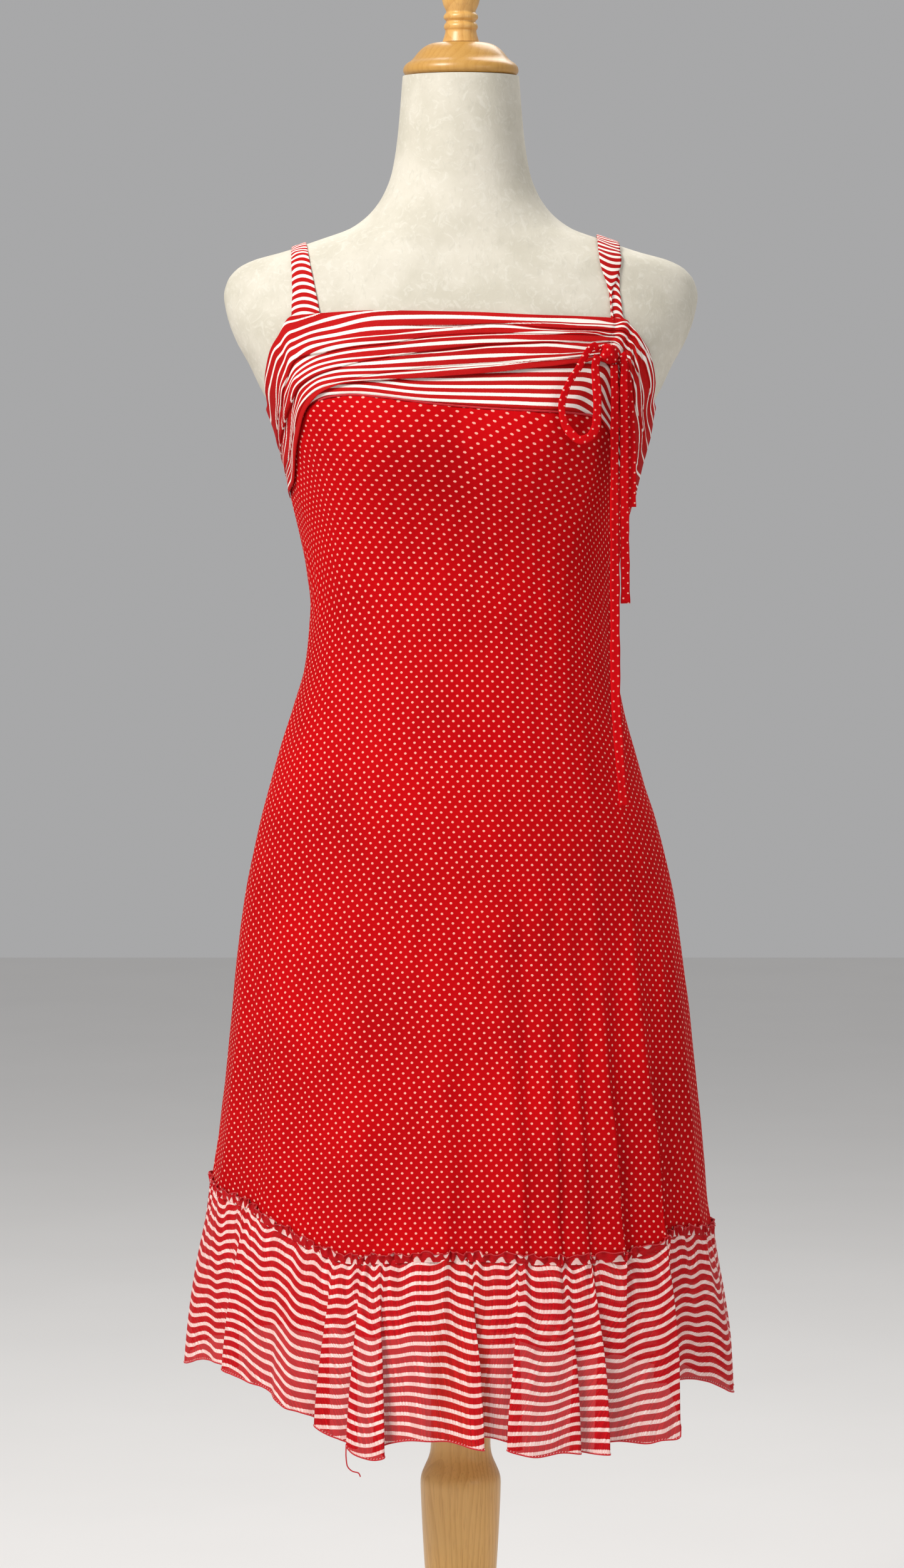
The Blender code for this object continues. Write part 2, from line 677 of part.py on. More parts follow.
def shoulder_height(across):
    """The height of the shoulder ridge at this distance from the middle."""
    heights = np.linspace(*SHOULDER_HEIGHTS, SHOULDER_SAMPLES)
    return np.interp(-np.abs(across), -outline(FIGURE, "half_width", heights), heights)


def front_angle(across, height):
    """The angle from the front at which the figure is this far from its middle."""
    share = np.abs(across) / outline(FIGURE, "half_width", height)
    share = np.clip(share, 0.0, 1.0) ** (outline(FIGURE, "corner", height) / 2)
    return np.degrees(np.arcsin(share)) * np.sign(across)


def make_strap(name, rows, collection, material):
    """A strap that lies on the form: its places run 0 to 1 up the front and 1 to 2 down the back."""
    place = np.linspace(0.0, 2.0, STRAP_ROWS)[:, None]
    middle = smooth(column(rows, STRAP_COLUMNS, "place"), column(rows, STRAP_COLUMNS, "across"), place)
    width = smooth(column(rows, STRAP_COLUMNS, "place"), column(rows, STRAP_COLUMNS, "width"), place)
    across = middle + width * np.linspace(-0.5, 0.5, POINTS_ACROSS_STRAP)[None, :]
    ridge = shoulder_height(across)
    front_low = edge_height(NECK_EDGE, front_angle(across[0], NECK_EDGE_MIDDLE))
    back_low = edge_height(BACK_NECK_EDGE, 180.0 - np.abs(front_angle(across[-1], BACK_EDGE_MIDDLE)))
    low = np.where(place <= 1.0, front_low[None, :], back_low[None, :]) + STRAP_CLEARANCE
    height = low + (ridge - low) * np.sin(np.pi / 2 * place)
    degrees = front_angle(across, height)
    degrees = np.where(place <= 1.0, degrees, 180.0 * np.sign(across) - degrees)
    points = lifted(FIGURE, degrees, height, STRAP_REST + STRAP_WALL)
    make_sheet(name, points, STRAP_WALL, collection, material)


def make_ribbon(name, route, collection, material):
    """A flat ribbon along its route, which faces the viewer, with its width square to the way it runs."""
    corners = np.stack([column(route, ROUTE_COLUMNS, name) for name in ("x", "y", "z")], axis=-1)
    lengths = np.concatenate([[0.0], np.cumsum(np.linalg.norm(np.diff(corners, axis=0), axis=1))])
    count = max(RIBBON_LEAST_RINGS, round(lengths[-1] / RIBBON_STEP) + 1)
    at = np.linspace(0.0, lengths[-1], count)
    path = np.stack([smooth(lengths, values, at) for values in corners.T], axis=-1)
    widths = smooth(lengths, column(route, ROUTE_COLUMNS, "width"), at)
    ahead = np.gradient(path, axis=0)
    ahead = ahead / np.linalg.norm(ahead, axis=1, keepdims=True)
    sideways = np.cross(ahead, RIBBON_FACING)
    sideways = sideways / np.linalg.norm(sideways, axis=1, keepdims=True)
    through = np.cross(sideways, ahead)
    section = ((-0.5, 0.5), (0.5, 0.5), (0.5, -0.5), (-0.5, -0.5))
    mesh = bpy.data.meshes.new(name)
    shell = bmesh.new()
    loops = []
    for place, width, side, thick in zip(path, widths, sideways, through):
        ring = []
        for across, deep in section:
            ring.append(shell.verts.new(place + side * across * width + thick * deep * RIBBON_WALL))
        loops.append(ring)
    for above, below in zip(loops, loops[1:]):
        for number in range(len(section)):
            nearby = (number + 1) % len(section)
            shell.faces.new((above[number], below[number], below[nearby], above[nearby]))
    shell.faces.new(loops[0])
    shell.faces.new(loops[-1][::-1])
    bmesh.ops.recalc_face_normals(shell, faces=shell.faces)
    shell.to_mesh(mesh)
    shell.free()
    return link_mesh(name, mesh, collection, material)


def make_tie(collection):
    """The knot on the gather, its loop and the three hanging tails."""
    material = make_material(*DOTTED_RIBBON)
    bpy.ops.mesh.primitive_uv_sphere_add(segments=KNOT_SEGMENTS, ring_count=KNOT_RINGS, radius=0.5)
    knot = bpy.context.active_object
    for owner in list(knot.users_collection):
        owner.objects.unlink(knot)
    collection.objects.link(knot)
    knot.name = "tie_knot"
    knot.data.materials.append(material)
    knot.location = KNOT_CENTRE
    knot.scale = KNOT_SIZE
    knot.rotation_euler = (0.0, 0.0, math.radians(KNOT_TURN))
    knot.data.shade_smooth()
    make_ribbon("tie_loop", LOOP_ROUTE, collection, material)
    make_ribbon("tie_tail_long", LONG_TAIL, collection, material)
    make_ribbon("tie_tail_mid", MID_TAIL, collection, material)
    make_ribbon("tie_tail_short", SHORT_TAIL, collection, material)


def make_stand(collection):
    """The turned wooden pieces above and below the body."""
    pine = make_material(*PINE)
    make_turned("neck_cap", NECK_CAP, CAP_STEPS, collection, pine)
    make_turned("finial", FINIAL, FINIAL_STEPS, collection, pine)
    make_turned("pole", POLE, POLE_STEPS, collection, pine)
    make_turned("base", FOOT, FOOT_STEPS, collection, pine)


def main():
    clear_scene()
    dress = new_collection("Polka dot dress on a dress form")
    make_stand(dress)
    make_form_body(dress)
    make_dress_panels(dress)
    make_ruffles(dress)
    make_yoke(dress)
    make_back_band(dress)
    straps = make_material(*STRIPED_JERSEY)
    make_strap("strap_left", LEFT_STRAP, dress, straps)
    make_strap("strap_right", RIGHT_STRAP, dress, straps)
    make_tie(dress)


main()
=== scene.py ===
# %% [markdown]
# # A polka dot dress on its dress form
# A strappy jersey dress hangs on a limbless form with a turned wooden stand. The bodice and skirt are red jersey
# with small cream dots. The yoke is striped jersey, gathered by a tie on the viewer's right. The hem is a gathered
# ruffle of thin striped chiffon.
#
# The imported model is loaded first. It is the frame: each piece made here has to lie where its solid lies.

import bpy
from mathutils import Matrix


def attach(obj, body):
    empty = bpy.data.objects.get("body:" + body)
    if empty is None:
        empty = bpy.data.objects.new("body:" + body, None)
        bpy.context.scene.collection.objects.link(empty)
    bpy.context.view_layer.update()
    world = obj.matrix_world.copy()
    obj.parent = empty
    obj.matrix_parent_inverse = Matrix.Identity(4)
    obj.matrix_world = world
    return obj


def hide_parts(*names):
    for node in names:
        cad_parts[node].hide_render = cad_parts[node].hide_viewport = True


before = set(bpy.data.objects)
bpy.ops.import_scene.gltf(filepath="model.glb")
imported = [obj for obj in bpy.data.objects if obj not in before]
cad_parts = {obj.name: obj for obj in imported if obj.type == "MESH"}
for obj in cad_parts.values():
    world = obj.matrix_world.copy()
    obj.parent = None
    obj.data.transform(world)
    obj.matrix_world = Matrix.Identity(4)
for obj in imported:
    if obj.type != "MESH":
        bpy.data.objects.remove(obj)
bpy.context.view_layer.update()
print("solids in the frame:", sorted(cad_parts))

# %% Tools for the lesson
import math

import bpy
import numpy as np

whole_dress = bpy.data.collections.new("Dress on its form")
bpy.context.scene.collection.children.link(whole_dress)

# %% [markdown]
# ## Camera
# The camera comes first, so that every later look at the scene is the photograph's view. It stands about four metres
# away at chest height and looks a little down. A long lens from far away keeps the form's sides nearly parallel,
# as they are in the photograph. Depth of field stays off.

# %% Camera
CAMERA_PLACE = (-0.0073, -4.0, 1.233)
CAMERA_TILT_DOWN = 4.33
CAMERA_LENS = 110.5

camera_data = bpy.data.cameras.new("Camera")
camera_data.sensor_width = 36.0
camera_data.lens = CAMERA_LENS
camera_data.dof.use_dof = False
camera = bpy.data.objects.new("Camera", camera_data)
camera.location = CAMERA_PLACE
camera.rotation_euler = (math.radians(90.0 - CAMERA_TILT_DOWN), 0.0, 0.0)
bpy.context.scene.collection.objects.link(camera)
bpy.context.scene.camera = camera
print("camera:", CAMERA_LENS, "mm lens,", CAMERA_TILT_DOWN, "degrees down")

# %% [markdown]
# ## The figure as numbers
# A body can be described by its outline at a few heights, as a tape measure and a ruler would give it: half the
# width, how far the front and the back stand out, and how square the outline is. A smooth curve through each column
# gives every height between. All cloth is laid on this surface, so a piece always fits what carries it.

# %% Outlines of the form
FIGURE = np.array((
    # height, half width, front, back, shift, corner
    (1.5150, 0.0480, 0.050, 0.050, 0.0000, 2.0),
    (1.4650, 0.0523, 0.053, 0.054, 0.0000, 2.0),
    (1.4360, 0.0570, 0.055, 0.059, 0.0000, 2.0),
    (1.4200, 0.0630, 0.057, 0.063, 0.0000, 2.0),
    (1.4060, 0.0720, 0.060, 0.067, 0.0000, 2.0),
    (1.3910, 0.0900, 0.063, 0.071, 0.0000, 2.0),
    (1.3810, 0.1170, 0.065, 0.073, 0.0000, 2.0),
    (1.3710, 0.1470, 0.067, 0.074, 0.0000, 2.0),
    (1.3640, 0.1720, 0.069, 0.075, 0.0000, 2.0),
    (1.3570, 0.1850, 0.071, 0.077, 0.0000, 2.0),
    (1.3470, 0.1930, 0.074, 0.080, 0.0000, 2.0),
    (1.3350, 0.1960, 0.078, 0.084, 0.0000, 2.0),
    (1.3170, 0.1930, 0.084, 0.088, 0.0000, 2.1),
    (1.2980, 0.1860, 0.092, 0.091, 0.0000, 2.1),
    (1.2780, 0.1750, 0.100, 0.094, 0.0000, 2.1),
    (1.2590, 0.1660, 0.106, 0.096, 0.0000, 2.1),
    (1.2430, 0.1580, 0.110, 0.097, 0.0000, 2.1),
    (1.2170, 0.1510, 0.112, 0.097, 0.0020, 2.1),
    (1.1910, 0.1440, 0.109, 0.095, 0.0020, 2.1),
    (1.1650, 0.1385, 0.103, 0.091, 0.0015, 2.1),
    (1.1390, 0.1325, 0.096, 0.087, 0.0015, 2.1),
    (1.1070, 0.1265, 0.090, 0.084, 0.0015, 2.1),
    (1.0810, 0.1240, 0.088, 0.084, 0.0020, 2.1),
    (1.0610, 0.1245, 0.088, 0.086, 0.0015, 2.1),
    (1.0280, 0.1270, 0.091, 0.092, 0.0000, 2.1),
    (0.9960, 0.1340, 0.095, 0.100, -0.0020, 2.1),
    (0.9630, 0.1440, 0.099, 0.109, -0.0030, 2.1),
    (0.9300, 0.1530, 0.103, 0.117, -0.0030, 2.1),
    (0.9040, 0.1610, 0.106, 0.122, -0.0020, 2.1),
    (0.8650, 0.1705, 0.110, 0.128, -0.0015, 2.1),
    (0.8250, 0.1780, 0.114, 0.131, -0.0010, 2.1),
    (0.7860, 0.1815, 0.116, 0.131, -0.0010, 2.1),
    (0.7500, 0.1790, 0.113, 0.127, 0.0000, 2.1),
    (0.7220, 0.1690, 0.105, 0.118, 0.0000, 2.1),
    (0.7060, 0.1550, 0.094, 0.106, 0.0000, 2.1),
    (0.7000, 0.1430, 0.084, 0.096, 0.0000, 2.1),
))
SKIRT = np.array((
    # the same columns, below the hips, where the cloth hangs clear
    (0.7860, 0.1860, 0.121, 0.135, -0.0010, 2.1),
    (0.7330, 0.1920, 0.129, 0.140, 0.0000, 2.1),
    (0.6870, 0.1965, 0.135, 0.145, 0.0000, 2.1),
    (0.6540, 0.2005, 0.140, 0.149, 0.0000, 2.1),
    (0.6140, 0.2050, 0.145, 0.153, -0.0010, 2.1),
    (0.5820, 0.2085, 0.149, 0.157, -0.0020, 2.1),
    (0.5450, 0.2150, 0.155, 0.163, -0.0020, 2.1),
    (0.5050, 0.2215, 0.161, 0.169, -0.0010, 2.1),
    (0.4600, 0.2265, 0.165, 0.173, 0.0000, 2.1),
    (0.4100, 0.2290, 0.168, 0.176, 0.0000, 2.1),
))
JERSEY_EASE = 0.0028
LOWEST_TOUCH = 0.80
WAIST_HEIGHT = 1.081

worn = FIGURE[FIGURE[:, 0] > LOWEST_TOUCH] + np.array((0.0, JERSEY_EASE, JERSEY_EASE, JERSEY_EASE, 0.0, 0.0))
DRESS = np.concatenate([worn, SKIRT])
print("outlines of the form:", len(FIGURE), "and of the dress:", len(DRESS))


# %% Smooth curves and points on the body
def smooth(places, values, at):
    """A smooth curve through the points that never swings past two neighbours."""
    places = np.asarray(places, float)
    values = np.asarray(values, float)
    order = np.argsort(places)
    places = places[order]
    values = values[order]
    slope = np.diff(values) / np.diff(places)
    same_way = slope[:-1] * slope[1:] > 0
    total = np.where(same_way, slope[:-1] + slope[1:], 1.0)
    inner = np.where(same_way, 2 * slope[:-1] * slope[1:] / total, 0.0)
    tangent = np.concatenate([slope[:1], inner, slope[-1:]])
    at = np.clip(at, places[0], places[-1])
    index = np.clip(np.searchsorted(places, at) - 1, 0, len(slope) - 1)
    width = places[index + 1] - places[index]
    t = (at - places[index]) / width
    ends = values[index] * (1 + 2 * t) * (1 - t) ** 2 + values[index + 1] * t * t * (3 - 2 * t)
    return ends + width * t * (1 - t) * (tangent[index] * (1 - t) - tangent[index + 1] * t)


BUST_HEIGHT = 1.222
BUST_SPREAD = 0.072
BUST_WIDTH = 0.050
BUST_TALL = 0.052
BUST_RISE = 0.014


def on_body(rows, degrees, height):
    """Points of the outlines, at degrees round from the front and at these heights."""
    half, front, back, shift, corner = (smooth(rows[:, 0], rows[:, n], height) for n in range(1, 6))
    angle = np.radians(degrees)
    sine = np.sin(angle)
    cosine = np.cos(angle)
    x = half * np.sign(sine) * np.abs(sine) ** (2 / corner)
    depth = np.where(cosine > 0, front, back)
    y = -depth * np.sign(cosine) * np.abs(cosine) ** (2 / corner)
    tall = np.exp(-(((height - BUST_HEIGHT) / BUST_TALL) ** 2))
    wide = np.exp(-(((np.abs(x) - BUST_SPREAD) / BUST_WIDTH) ** 2))
    y = y - BUST_RISE * tall * wide * np.sqrt(np.clip(cosine, 0, 1))
    return np.stack(np.broadcast_arrays(x + shift, y, height), axis=-1)


def lifted(rows, degrees, height, out):
    """The same points, moved out from the body, square to its surface."""
    degrees, height, out = np.broadcast_arrays(degrees, height, out)
    around = on_body(rows, degrees + 0.006, height) - on_body(rows, degrees - 0.006, height)
    upward = on_body(rows, degrees, height + 0.0001) - on_body(rows, degrees, height - 0.0001)
    normal = np.cross(around, upward)
    normal = normal / np.linalg.norm(normal, axis=-1, keepdims=True)
    return on_body(rows, degrees, height) + normal * out[..., None]


waist_points = on_body(FIGURE, np.array([90.0, 0.0]), WAIST_HEIGHT)
print("waist, at its side and its front, in mm:", np.round(waist_points * 1000, 1).tolist())

# %% [markdown]
# ## Helpers for nodes
# A finish is a small tree of nodes. These helpers add a node, join it, and give back its output, so that a finish
# reads like a recipe. Patterns are worked out from the cloth's own UV map, which is in metres, so a dot keeps its
# real size on every fold.


# %% Node helpers
def new_finish(name, roughness, gloss=0.3, sheen=0.0):
    """A new material and its shader, with the plain numbers set on the shader's own sockets."""
    material = bpy.data.materials.new(name)
    material.use_nodes = True
    shader = material.node_tree.nodes["Principled BSDF"]
    shader.inputs["Roughness"].default_value = roughness
    shader.inputs["Specular IOR Level"].default_value = gloss
    shader.inputs["Sheen Weight"].default_value = sheen
    shader.inputs["Sheen Roughness"].default_value = 0.4
    return material, material.node_tree, shader


def feed(tree, socket, value):
    """Joins an output to a socket, or sets the socket where the value is a plain number."""
    if isinstance(value, bpy.types.NodeSocket):
        tree.links.new(value, socket)
    else:
        socket.default_value = value


def sums(tree, operation, first, second=0.0):
    """One sum, such as ADD or SINE, on one or two outputs or plain numbers."""
    node = tree.nodes.new("ShaderNodeMath")
    node.operation = operation
    for socket, value in zip(node.inputs, (first, second)):
        feed(tree, socket, value)
    return node.outputs[0]


def plus(tree, first, second):
    return sums(tree, "ADD", first, second)


def minus(tree, first, second):
    return sums(tree, "SUBTRACT", first, second)


def times(tree, first, second):
    return sums(tree, "MULTIPLY", first, second)


def between(tree, value, low, high):
    """0 at low, 1 at high, and smooth in between."""
    node = tree.nodes.new("ShaderNodeMapRange")
    node.interpolation_type = "SMOOTHSTEP"
    feed(tree, node.inputs["Value"], value)
    node.inputs["From Min"].default_value = low
    node.inputs["From Max"].default_value = high
    return node.outputs["Result"]


def blend(tree, share, first, second):
    """The first colour where the share is 0, and the second where it is 1."""
    node = tree.nodes.new("ShaderNodeMix")
    node.data_type = "RGBA"
    feed(tree, node.inputs["Factor"], share)
    for socket, value in ((node.inputs["A"], first), (node.inputs["B"], second)):
        colour_socket = next(s for s in node.inputs if s.name == socket.name and s.type == "RGBA")
        feed(tree, colour_socket, (*value, 1.0) if isinstance(value, tuple) else value)
    return next(s for s in node.outputs if s.type == "RGBA")


def cloth_place(tree, stretch=(1.0, 1.0, 1.0)):
    """The place on the cloth, across and along, from the piece's own UV map in metres."""
    place = tree.nodes.new("ShaderNodeUVMap")
    place.uv_map = "Cloth"
    mapping = tree.nodes.new("ShaderNodeMapping")
    mapping.inputs["Scale"].default_value = stretch
    tree.links.new(place.outputs["UV"], mapping.inputs["Vector"])
    return mapping.outputs["Vector"]


def object_place(tree, stretch=(1.0, 1.0, 1.0)):
    """The place in the piece itself, in metres, for patterns that don't follow the cloth."""
    place = tree.nodes.new("ShaderNodeTexCoord")
    mapping = tree.nodes.new("ShaderNodeMapping")
    mapping.inputs["Scale"].default_value = stretch
    tree.links.new(place.outputs["Object"], mapping.inputs["Vector"])
    return mapping.outputs["Vector"]


def split(tree, vector):
    """The three numbers of a place."""
    node = tree.nodes.new("ShaderNodeSeparateXYZ")
    tree.links.new(vector, node.inputs[0])
    return node.outputs[0], node.outputs[1], node.outputs[2]


def cloudy(tree, vector, scale, detail=3.0, roughness=0.5, distortion=0.0):
    """A soft noise from 0 to 1, with so many clouds to a metre."""
    node = tree.nodes.new("ShaderNodeTexNoise")
    node.inputs["Scale"].default_value = scale
    node.inputs["Detail"].default_value = detail
    node.inputs["Roughness"].default_value = roughness
    node.inputs["Distortion"].default_value = distortion
    tree.links.new(vector, node.inputs["Vector"])
    return node.outputs[0]


def bumps(tree, shader, height, distance, strength):
    """Small relief that catches the light and leaves the shape as it is."""
    node = tree.nodes.new("ShaderNodeBump")
    node.inputs["Strength"].default_value = strength
    node.inputs["Distance"].default_value = distance
    feed(tree, node.inputs["Height"], height)
    tree.links.new(node.outputs[0], shader.inputs["Normal"])


print("node helpers are ready")

# %% [markdown]
# ## Dotted jersey
# Fine cotton jersey printed with cream dots: rows 4.1 mm apart, dots 8.2 mm apart in a row, and every other row moved
# half a step. The pattern could be an image, but a few sums on the UV map give dots that stay sharp at any size.
# The red is a little uneven, as dyed cloth is. The knit shows as tiny upright ribs, which only catch the light. The
# tie is the same cloth, with dots a fifth smaller.

# %% Dotted jersey
DOT_STEP = 0.0082
DOT_ROW = 0.0041
DOT_WIDE = 0.0020
DOT_TALL = 0.0018
RED = (0.560, 0.0008, 0.0030)
DEEP_RED = (0.450, 0.0005, 0.0026)
SPECKLE_RED = (0.62, 0.006, 0.008)
DOT_CREAM = (0.930, 0.440, 0.350)
RIBBON_RED = (0.620, 0.0020, 0.0050)
DEEP_RIBBON_RED = (0.500, 0.0012, 0.0040)
RIBBON_DOT_SIZE = 0.8
RIB_STEP = 0.0008
KNIT_RELIEF = 0.00012


def dot_share(tree, across, along, ragged, size):
    """1 inside a dot and 0 on the ground between the dots."""
    row = sums(tree, "DIVIDE", along, DOT_ROW)
    row_number = sums(tree, "FLOOR", row)
    odd = times(tree, sums(tree, "FLOORED_MODULO", row_number, 2.0), 0.5)
    step = plus(tree, sums(tree, "DIVIDE", across, DOT_STEP), odd)
    x = minus(tree, sums(tree, "FRACT", step), 0.5)
    y = minus(tree, sums(tree, "FRACT", row), 0.5)
    x = times(tree, x, 2 * DOT_STEP / (DOT_WIDE * size))
    y = times(tree, y, 2 * DOT_ROW / (DOT_TALL * size))
    away = sums(tree, "SQRT", plus(tree, times(tree, x, x), times(tree, y, y)))
    away = plus(tree, away, ragged)
    inside = between(tree, away, 0.86, 1.14)
    return minus(tree, 1.0, inside)


def knit_height(tree, across, along, rib):
    """The height of fine knit ribs, each a row of little loops."""
    ribs = sums(tree, "ABSOLUTE", sums(tree, "SINE", times(tree, across, math.pi / rib)))
    loops = sums(tree, "SINE", times(tree, along, 2 * math.pi / (rib * 0.8)))
    return plus(tree, ribs, times(tree, loops, 0.35))


def make_dotted_finish(name, size, light_red, shade_red):
    """Uneven red ground, cream dots with ragged edges, and the relief of the knit."""
    material, tree, shader = new_finish(name, 0.74, gloss=0.06)
    place = cloth_place(tree)
    across, along, _ = split(tree, place)
    grain = cloudy(tree, place, 1400.0, detail=2.0)
    ragged = times(tree, minus(tree, grain, 0.5), 0.55)
    dots = dot_share(tree, across, along, ragged, size)
    patches = between(tree, cloudy(tree, object_place(tree), 9.0, detail=4.0), 0.35, 0.70)
    ground = blend(tree, patches, light_red, shade_red)
    speckle = times(tree, between(tree, grain, 0.55, 0.80), 0.25)
    ground = blend(tree, speckle, ground, SPECKLE_RED)
    colour = blend(tree, times(tree, dots, 0.97), ground, DOT_CREAM)
    tree.links.new(colour, shader.inputs["Base Color"])
    knit = knit_height(tree, across, along, RIB_STEP)
    fluff = plus(tree, times(tree, knit, 0.6), times(tree, dots, 0.5))
    bumps(tree, shader, plus(tree, fluff, grain), KNIT_RELIEF, 0.7)
    rough = tree.nodes.new("ShaderNodeMapRange")
    tree.links.new(grain, rough.inputs["Value"])
    rough.inputs["To Min"].default_value = 0.66
    rough.inputs["To Max"].default_value = 0.84
    tree.links.new(rough.outputs["Result"], shader.inputs["Roughness"])
    return material


dotted_jersey = make_dotted_finish("Dotted jersey", 1.0, RED, DEEP_RED)
dotted_ribbon = make_dotted_finish("Dotted ribbon", RIBBON_DOT_SIZE, RIBBON_RED, DEEP_RIBBON_RED)
print("dots are", round(DOT_WIDE * 1000, 1), "mm wide in rows", DOT_ROW * 1000, "mm apart")

# %% [markdown]
# ## Striped jersey
# The yoke, the back and the straps are the same knit with stripes knitted in, 6.6 mm from one white to the next.
# The stripes follow the UV map's second number, the length along the cloth, so they vanish into a fold and come
# out again just as they do on real cloth.

# %% Striped jersey
STRIPE_STEP = 0.0066
WHITE_SHARE = 0.42
WHITE = (0.930, 0.875, 0.815)
SHADE_WHITE = (0.880, 0.800, 0.730)
STRIPE_RED = (0.500, 0.0060, 0.0065)
SHADE_STRIPE_RED = (0.400, 0.0045, 0.0055)
FLUFF_PINK = (0.66, 0.06, 0.05)


def stripe_share(tree, along, step, white, soft, ragged):
    """1 on a white stripe and 0 on a red one, with a soft edge. The first white starts at zero."""
    turn = sums(tree, "FRACT", plus(tree, sums(tree, "DIVIDE", along, step), ragged))
    away = sums(tree, "ABSOLUTE", minus(tree, turn, 0.5))
    return between(tree, away, 0.5 - white / 2 - soft, 0.5 - white / 2 + soft)


def make_striped_finish():
    material, tree, shader = new_finish("Striped jersey", 0.80, gloss=0.10)
    place = cloth_place(tree)
    across, along, _ = split(tree, place)
    grain = cloudy(tree, place, 1300.0, detail=2.0)
    waver = cloudy(tree, place, 60.0, detail=1.0)
    ragged = plus(tree, times(tree, minus(tree, grain, 0.5), 0.06),
                  times(tree, minus(tree, waver, 0.5), 0.05))
    white = stripe_share(tree, along, STRIPE_STEP, WHITE_SHARE, 0.025, ragged)
    patches = between(tree, cloudy(tree, object_place(tree), 12.0, detail=3.0), 0.35, 0.70)
    red = blend(tree, patches, STRIPE_RED, SHADE_STRIPE_RED)
    cream = blend(tree, patches, WHITE, SHADE_WHITE)
    red = blend(tree, times(tree, between(tree, grain, 0.52, 0.80), 0.30), red, FLUFF_PINK)
    tree.links.new(blend(tree, white, red, cream), shader.inputs["Base Color"])
    knit = knit_height(tree, across, along, RIB_STEP)
    bumps(tree, shader, plus(tree, times(tree, knit, 0.6), grain), KNIT_RELIEF, 0.7)
    return material


striped_jersey = make_striped_finish()
print("jersey stripes repeat every", STRIPE_STEP * 1000, "mm")

# %% [markdown]
# ## Striped chiffon
# The ruffle is thin crinkled chiffon: whatever is behind it shows a little, so the shader's alpha is below 1.
# The crinkle runs up and down in fine uneven lines, so its noise is stretched along the cloth. The same noise makes
# the colour paler on the crinkles' raised ridges, which is a painted highlight. Where two layers lie over each other,
# the stripes of the far one show as a faint pattern.

# %% Striped chiffon
CHIFFON_STEP = 0.0082
CHIFFON_WHITE = 0.36
CHIFFON_ALPHA = 0.95
CHIFFON_PINK = (0.860, 0.500, 0.460)
CHIFFON_PALE_HIGHLIGHT = (0.960, 0.780, 0.730)
CHIFFON_RED = (0.430, 0.0012, 0.0050)
CHIFFON_RED_HIGHLIGHT = (0.600, 0.0030, 0.0080)
CRINKLES = (700.0, 26.0, 1.0)
CRINKLE_RELIEF = 0.00045


def make_chiffon_finish():
    material, tree, shader = new_finish("Striped chiffon", 0.66, gloss=0.12, sheen=0.04)
    shader.inputs["Alpha"].default_value = CHIFFON_ALPHA
    place = cloth_place(tree)
    _, along, _ = split(tree, place)
    crinkle = cloudy(tree, cloth_place(tree, CRINKLES), 1.0, detail=3.0)
    weave = cloudy(tree, place, 1600.0, detail=1.0)
    waver = cloudy(tree, place, 45.0, detail=1.0)
    ragged = plus(tree, times(tree, minus(tree, crinkle, 0.5), 0.14),
                  times(tree, minus(tree, waver, 0.5), 0.10))
    white = stripe_share(tree, along, CHIFFON_STEP, CHIFFON_WHITE, 0.030, ragged)
    # Painted highlight: where the crinkle stands up, the colour turns paler and brighter.
    lines = between(tree, crinkle, 0.40, 0.66)
    pink = blend(tree, lines, CHIFFON_PINK, CHIFFON_PALE_HIGHLIGHT)
    red = blend(tree, lines, CHIFFON_RED, CHIFFON_RED_HIGHLIGHT)
    tree.links.new(blend(tree, white, red, pink), shader.inputs["Base Color"])
    bumps(tree, shader, plus(tree, crinkle, times(tree, weave, 0.25)), CRINKLE_RELIEF, 0.7)
    return material


striped_chiffon = make_chiffon_finish()
print("chiffon lets through", round(1 - CHIFFON_ALPHA, 2), "of what is behind it")

# %% [markdown]
# ## Thread
# Seams are closed with red thread, and raw edges are bound with looped stitches. Thread is twisted, so a very fine
# noise, 2600 to the metre, stands for its ply.


# %% Thread
def make_thread_finish(name, colour, light):
    material, tree, shader = new_finish(name, 0.68, sheen=0.2)
    place = object_place(tree)
    twist = cloudy(tree, place, 2600.0, detail=1.0)
    tree.links.new(blend(tree, twist, colour, light), shader.inputs["Base Color"])
    bumps(tree, shader, twist, 0.00008, 0.6)
    return material


red_thread = make_thread_finish("Red thread", (0.42, 0.004, 0.010), (0.66, 0.030, 0.040))
pink_thread = make_thread_finish("Pale thread", (0.70, 0.20, 0.20), (0.90, 0.58, 0.54))
print("two threads: red for seams, paler for the bound edges")

# %% [markdown]
# ## Cover of the form
# The form is padded and covered with a thin off-white skin, pressed on wet, so it dries mottled: paler fibres and
# greyer hollows, a few millimetres across. One soft noise gives the clouds, and two distorted ones give the pale
# fibres and the grey streaks.

# %% Cover of the form
COVER_HOLLOW = (0.585, 0.550, 0.455)
COVER_CREAM = (0.690, 0.650, 0.555)
COVER_FIBRE = (0.775, 0.745, 0.660)
COVER_STREAK = (0.540, 0.515, 0.435)


def make_cover_finish():
    material, tree, shader = new_finish("Mottled cover", 0.86, gloss=0.22)
    place = object_place(tree)
    fibres = cloudy(tree, place, 95.0, detail=5.0, roughness=0.62, distortion=2.2)
    clouds = cloudy(tree, place, 22.0, detail=4.0, roughness=0.55)
    streaks = cloudy(tree, object_place(tree, (1.0, 1.0, 0.45)), 260.0, detail=3.0, distortion=1.0)
    base = blend(tree, between(tree, clouds, 0.32, 0.68), COVER_HOLLOW, COVER_CREAM)
    base = blend(tree, times(tree, between(tree, fibres, 0.50, 0.66), 0.38), base, COVER_FIBRE)
    base = blend(tree, times(tree, between(tree, streaks, 0.56, 0.72), 0.35), base, COVER_STREAK)
    tree.links.new(base, shader.inputs["Base Color"])
    height = plus(tree, times(tree, fibres, 0.7), times(tree, streaks, 0.3))
    bumps(tree, shader, height, 0.0006, 0.5)
    return material


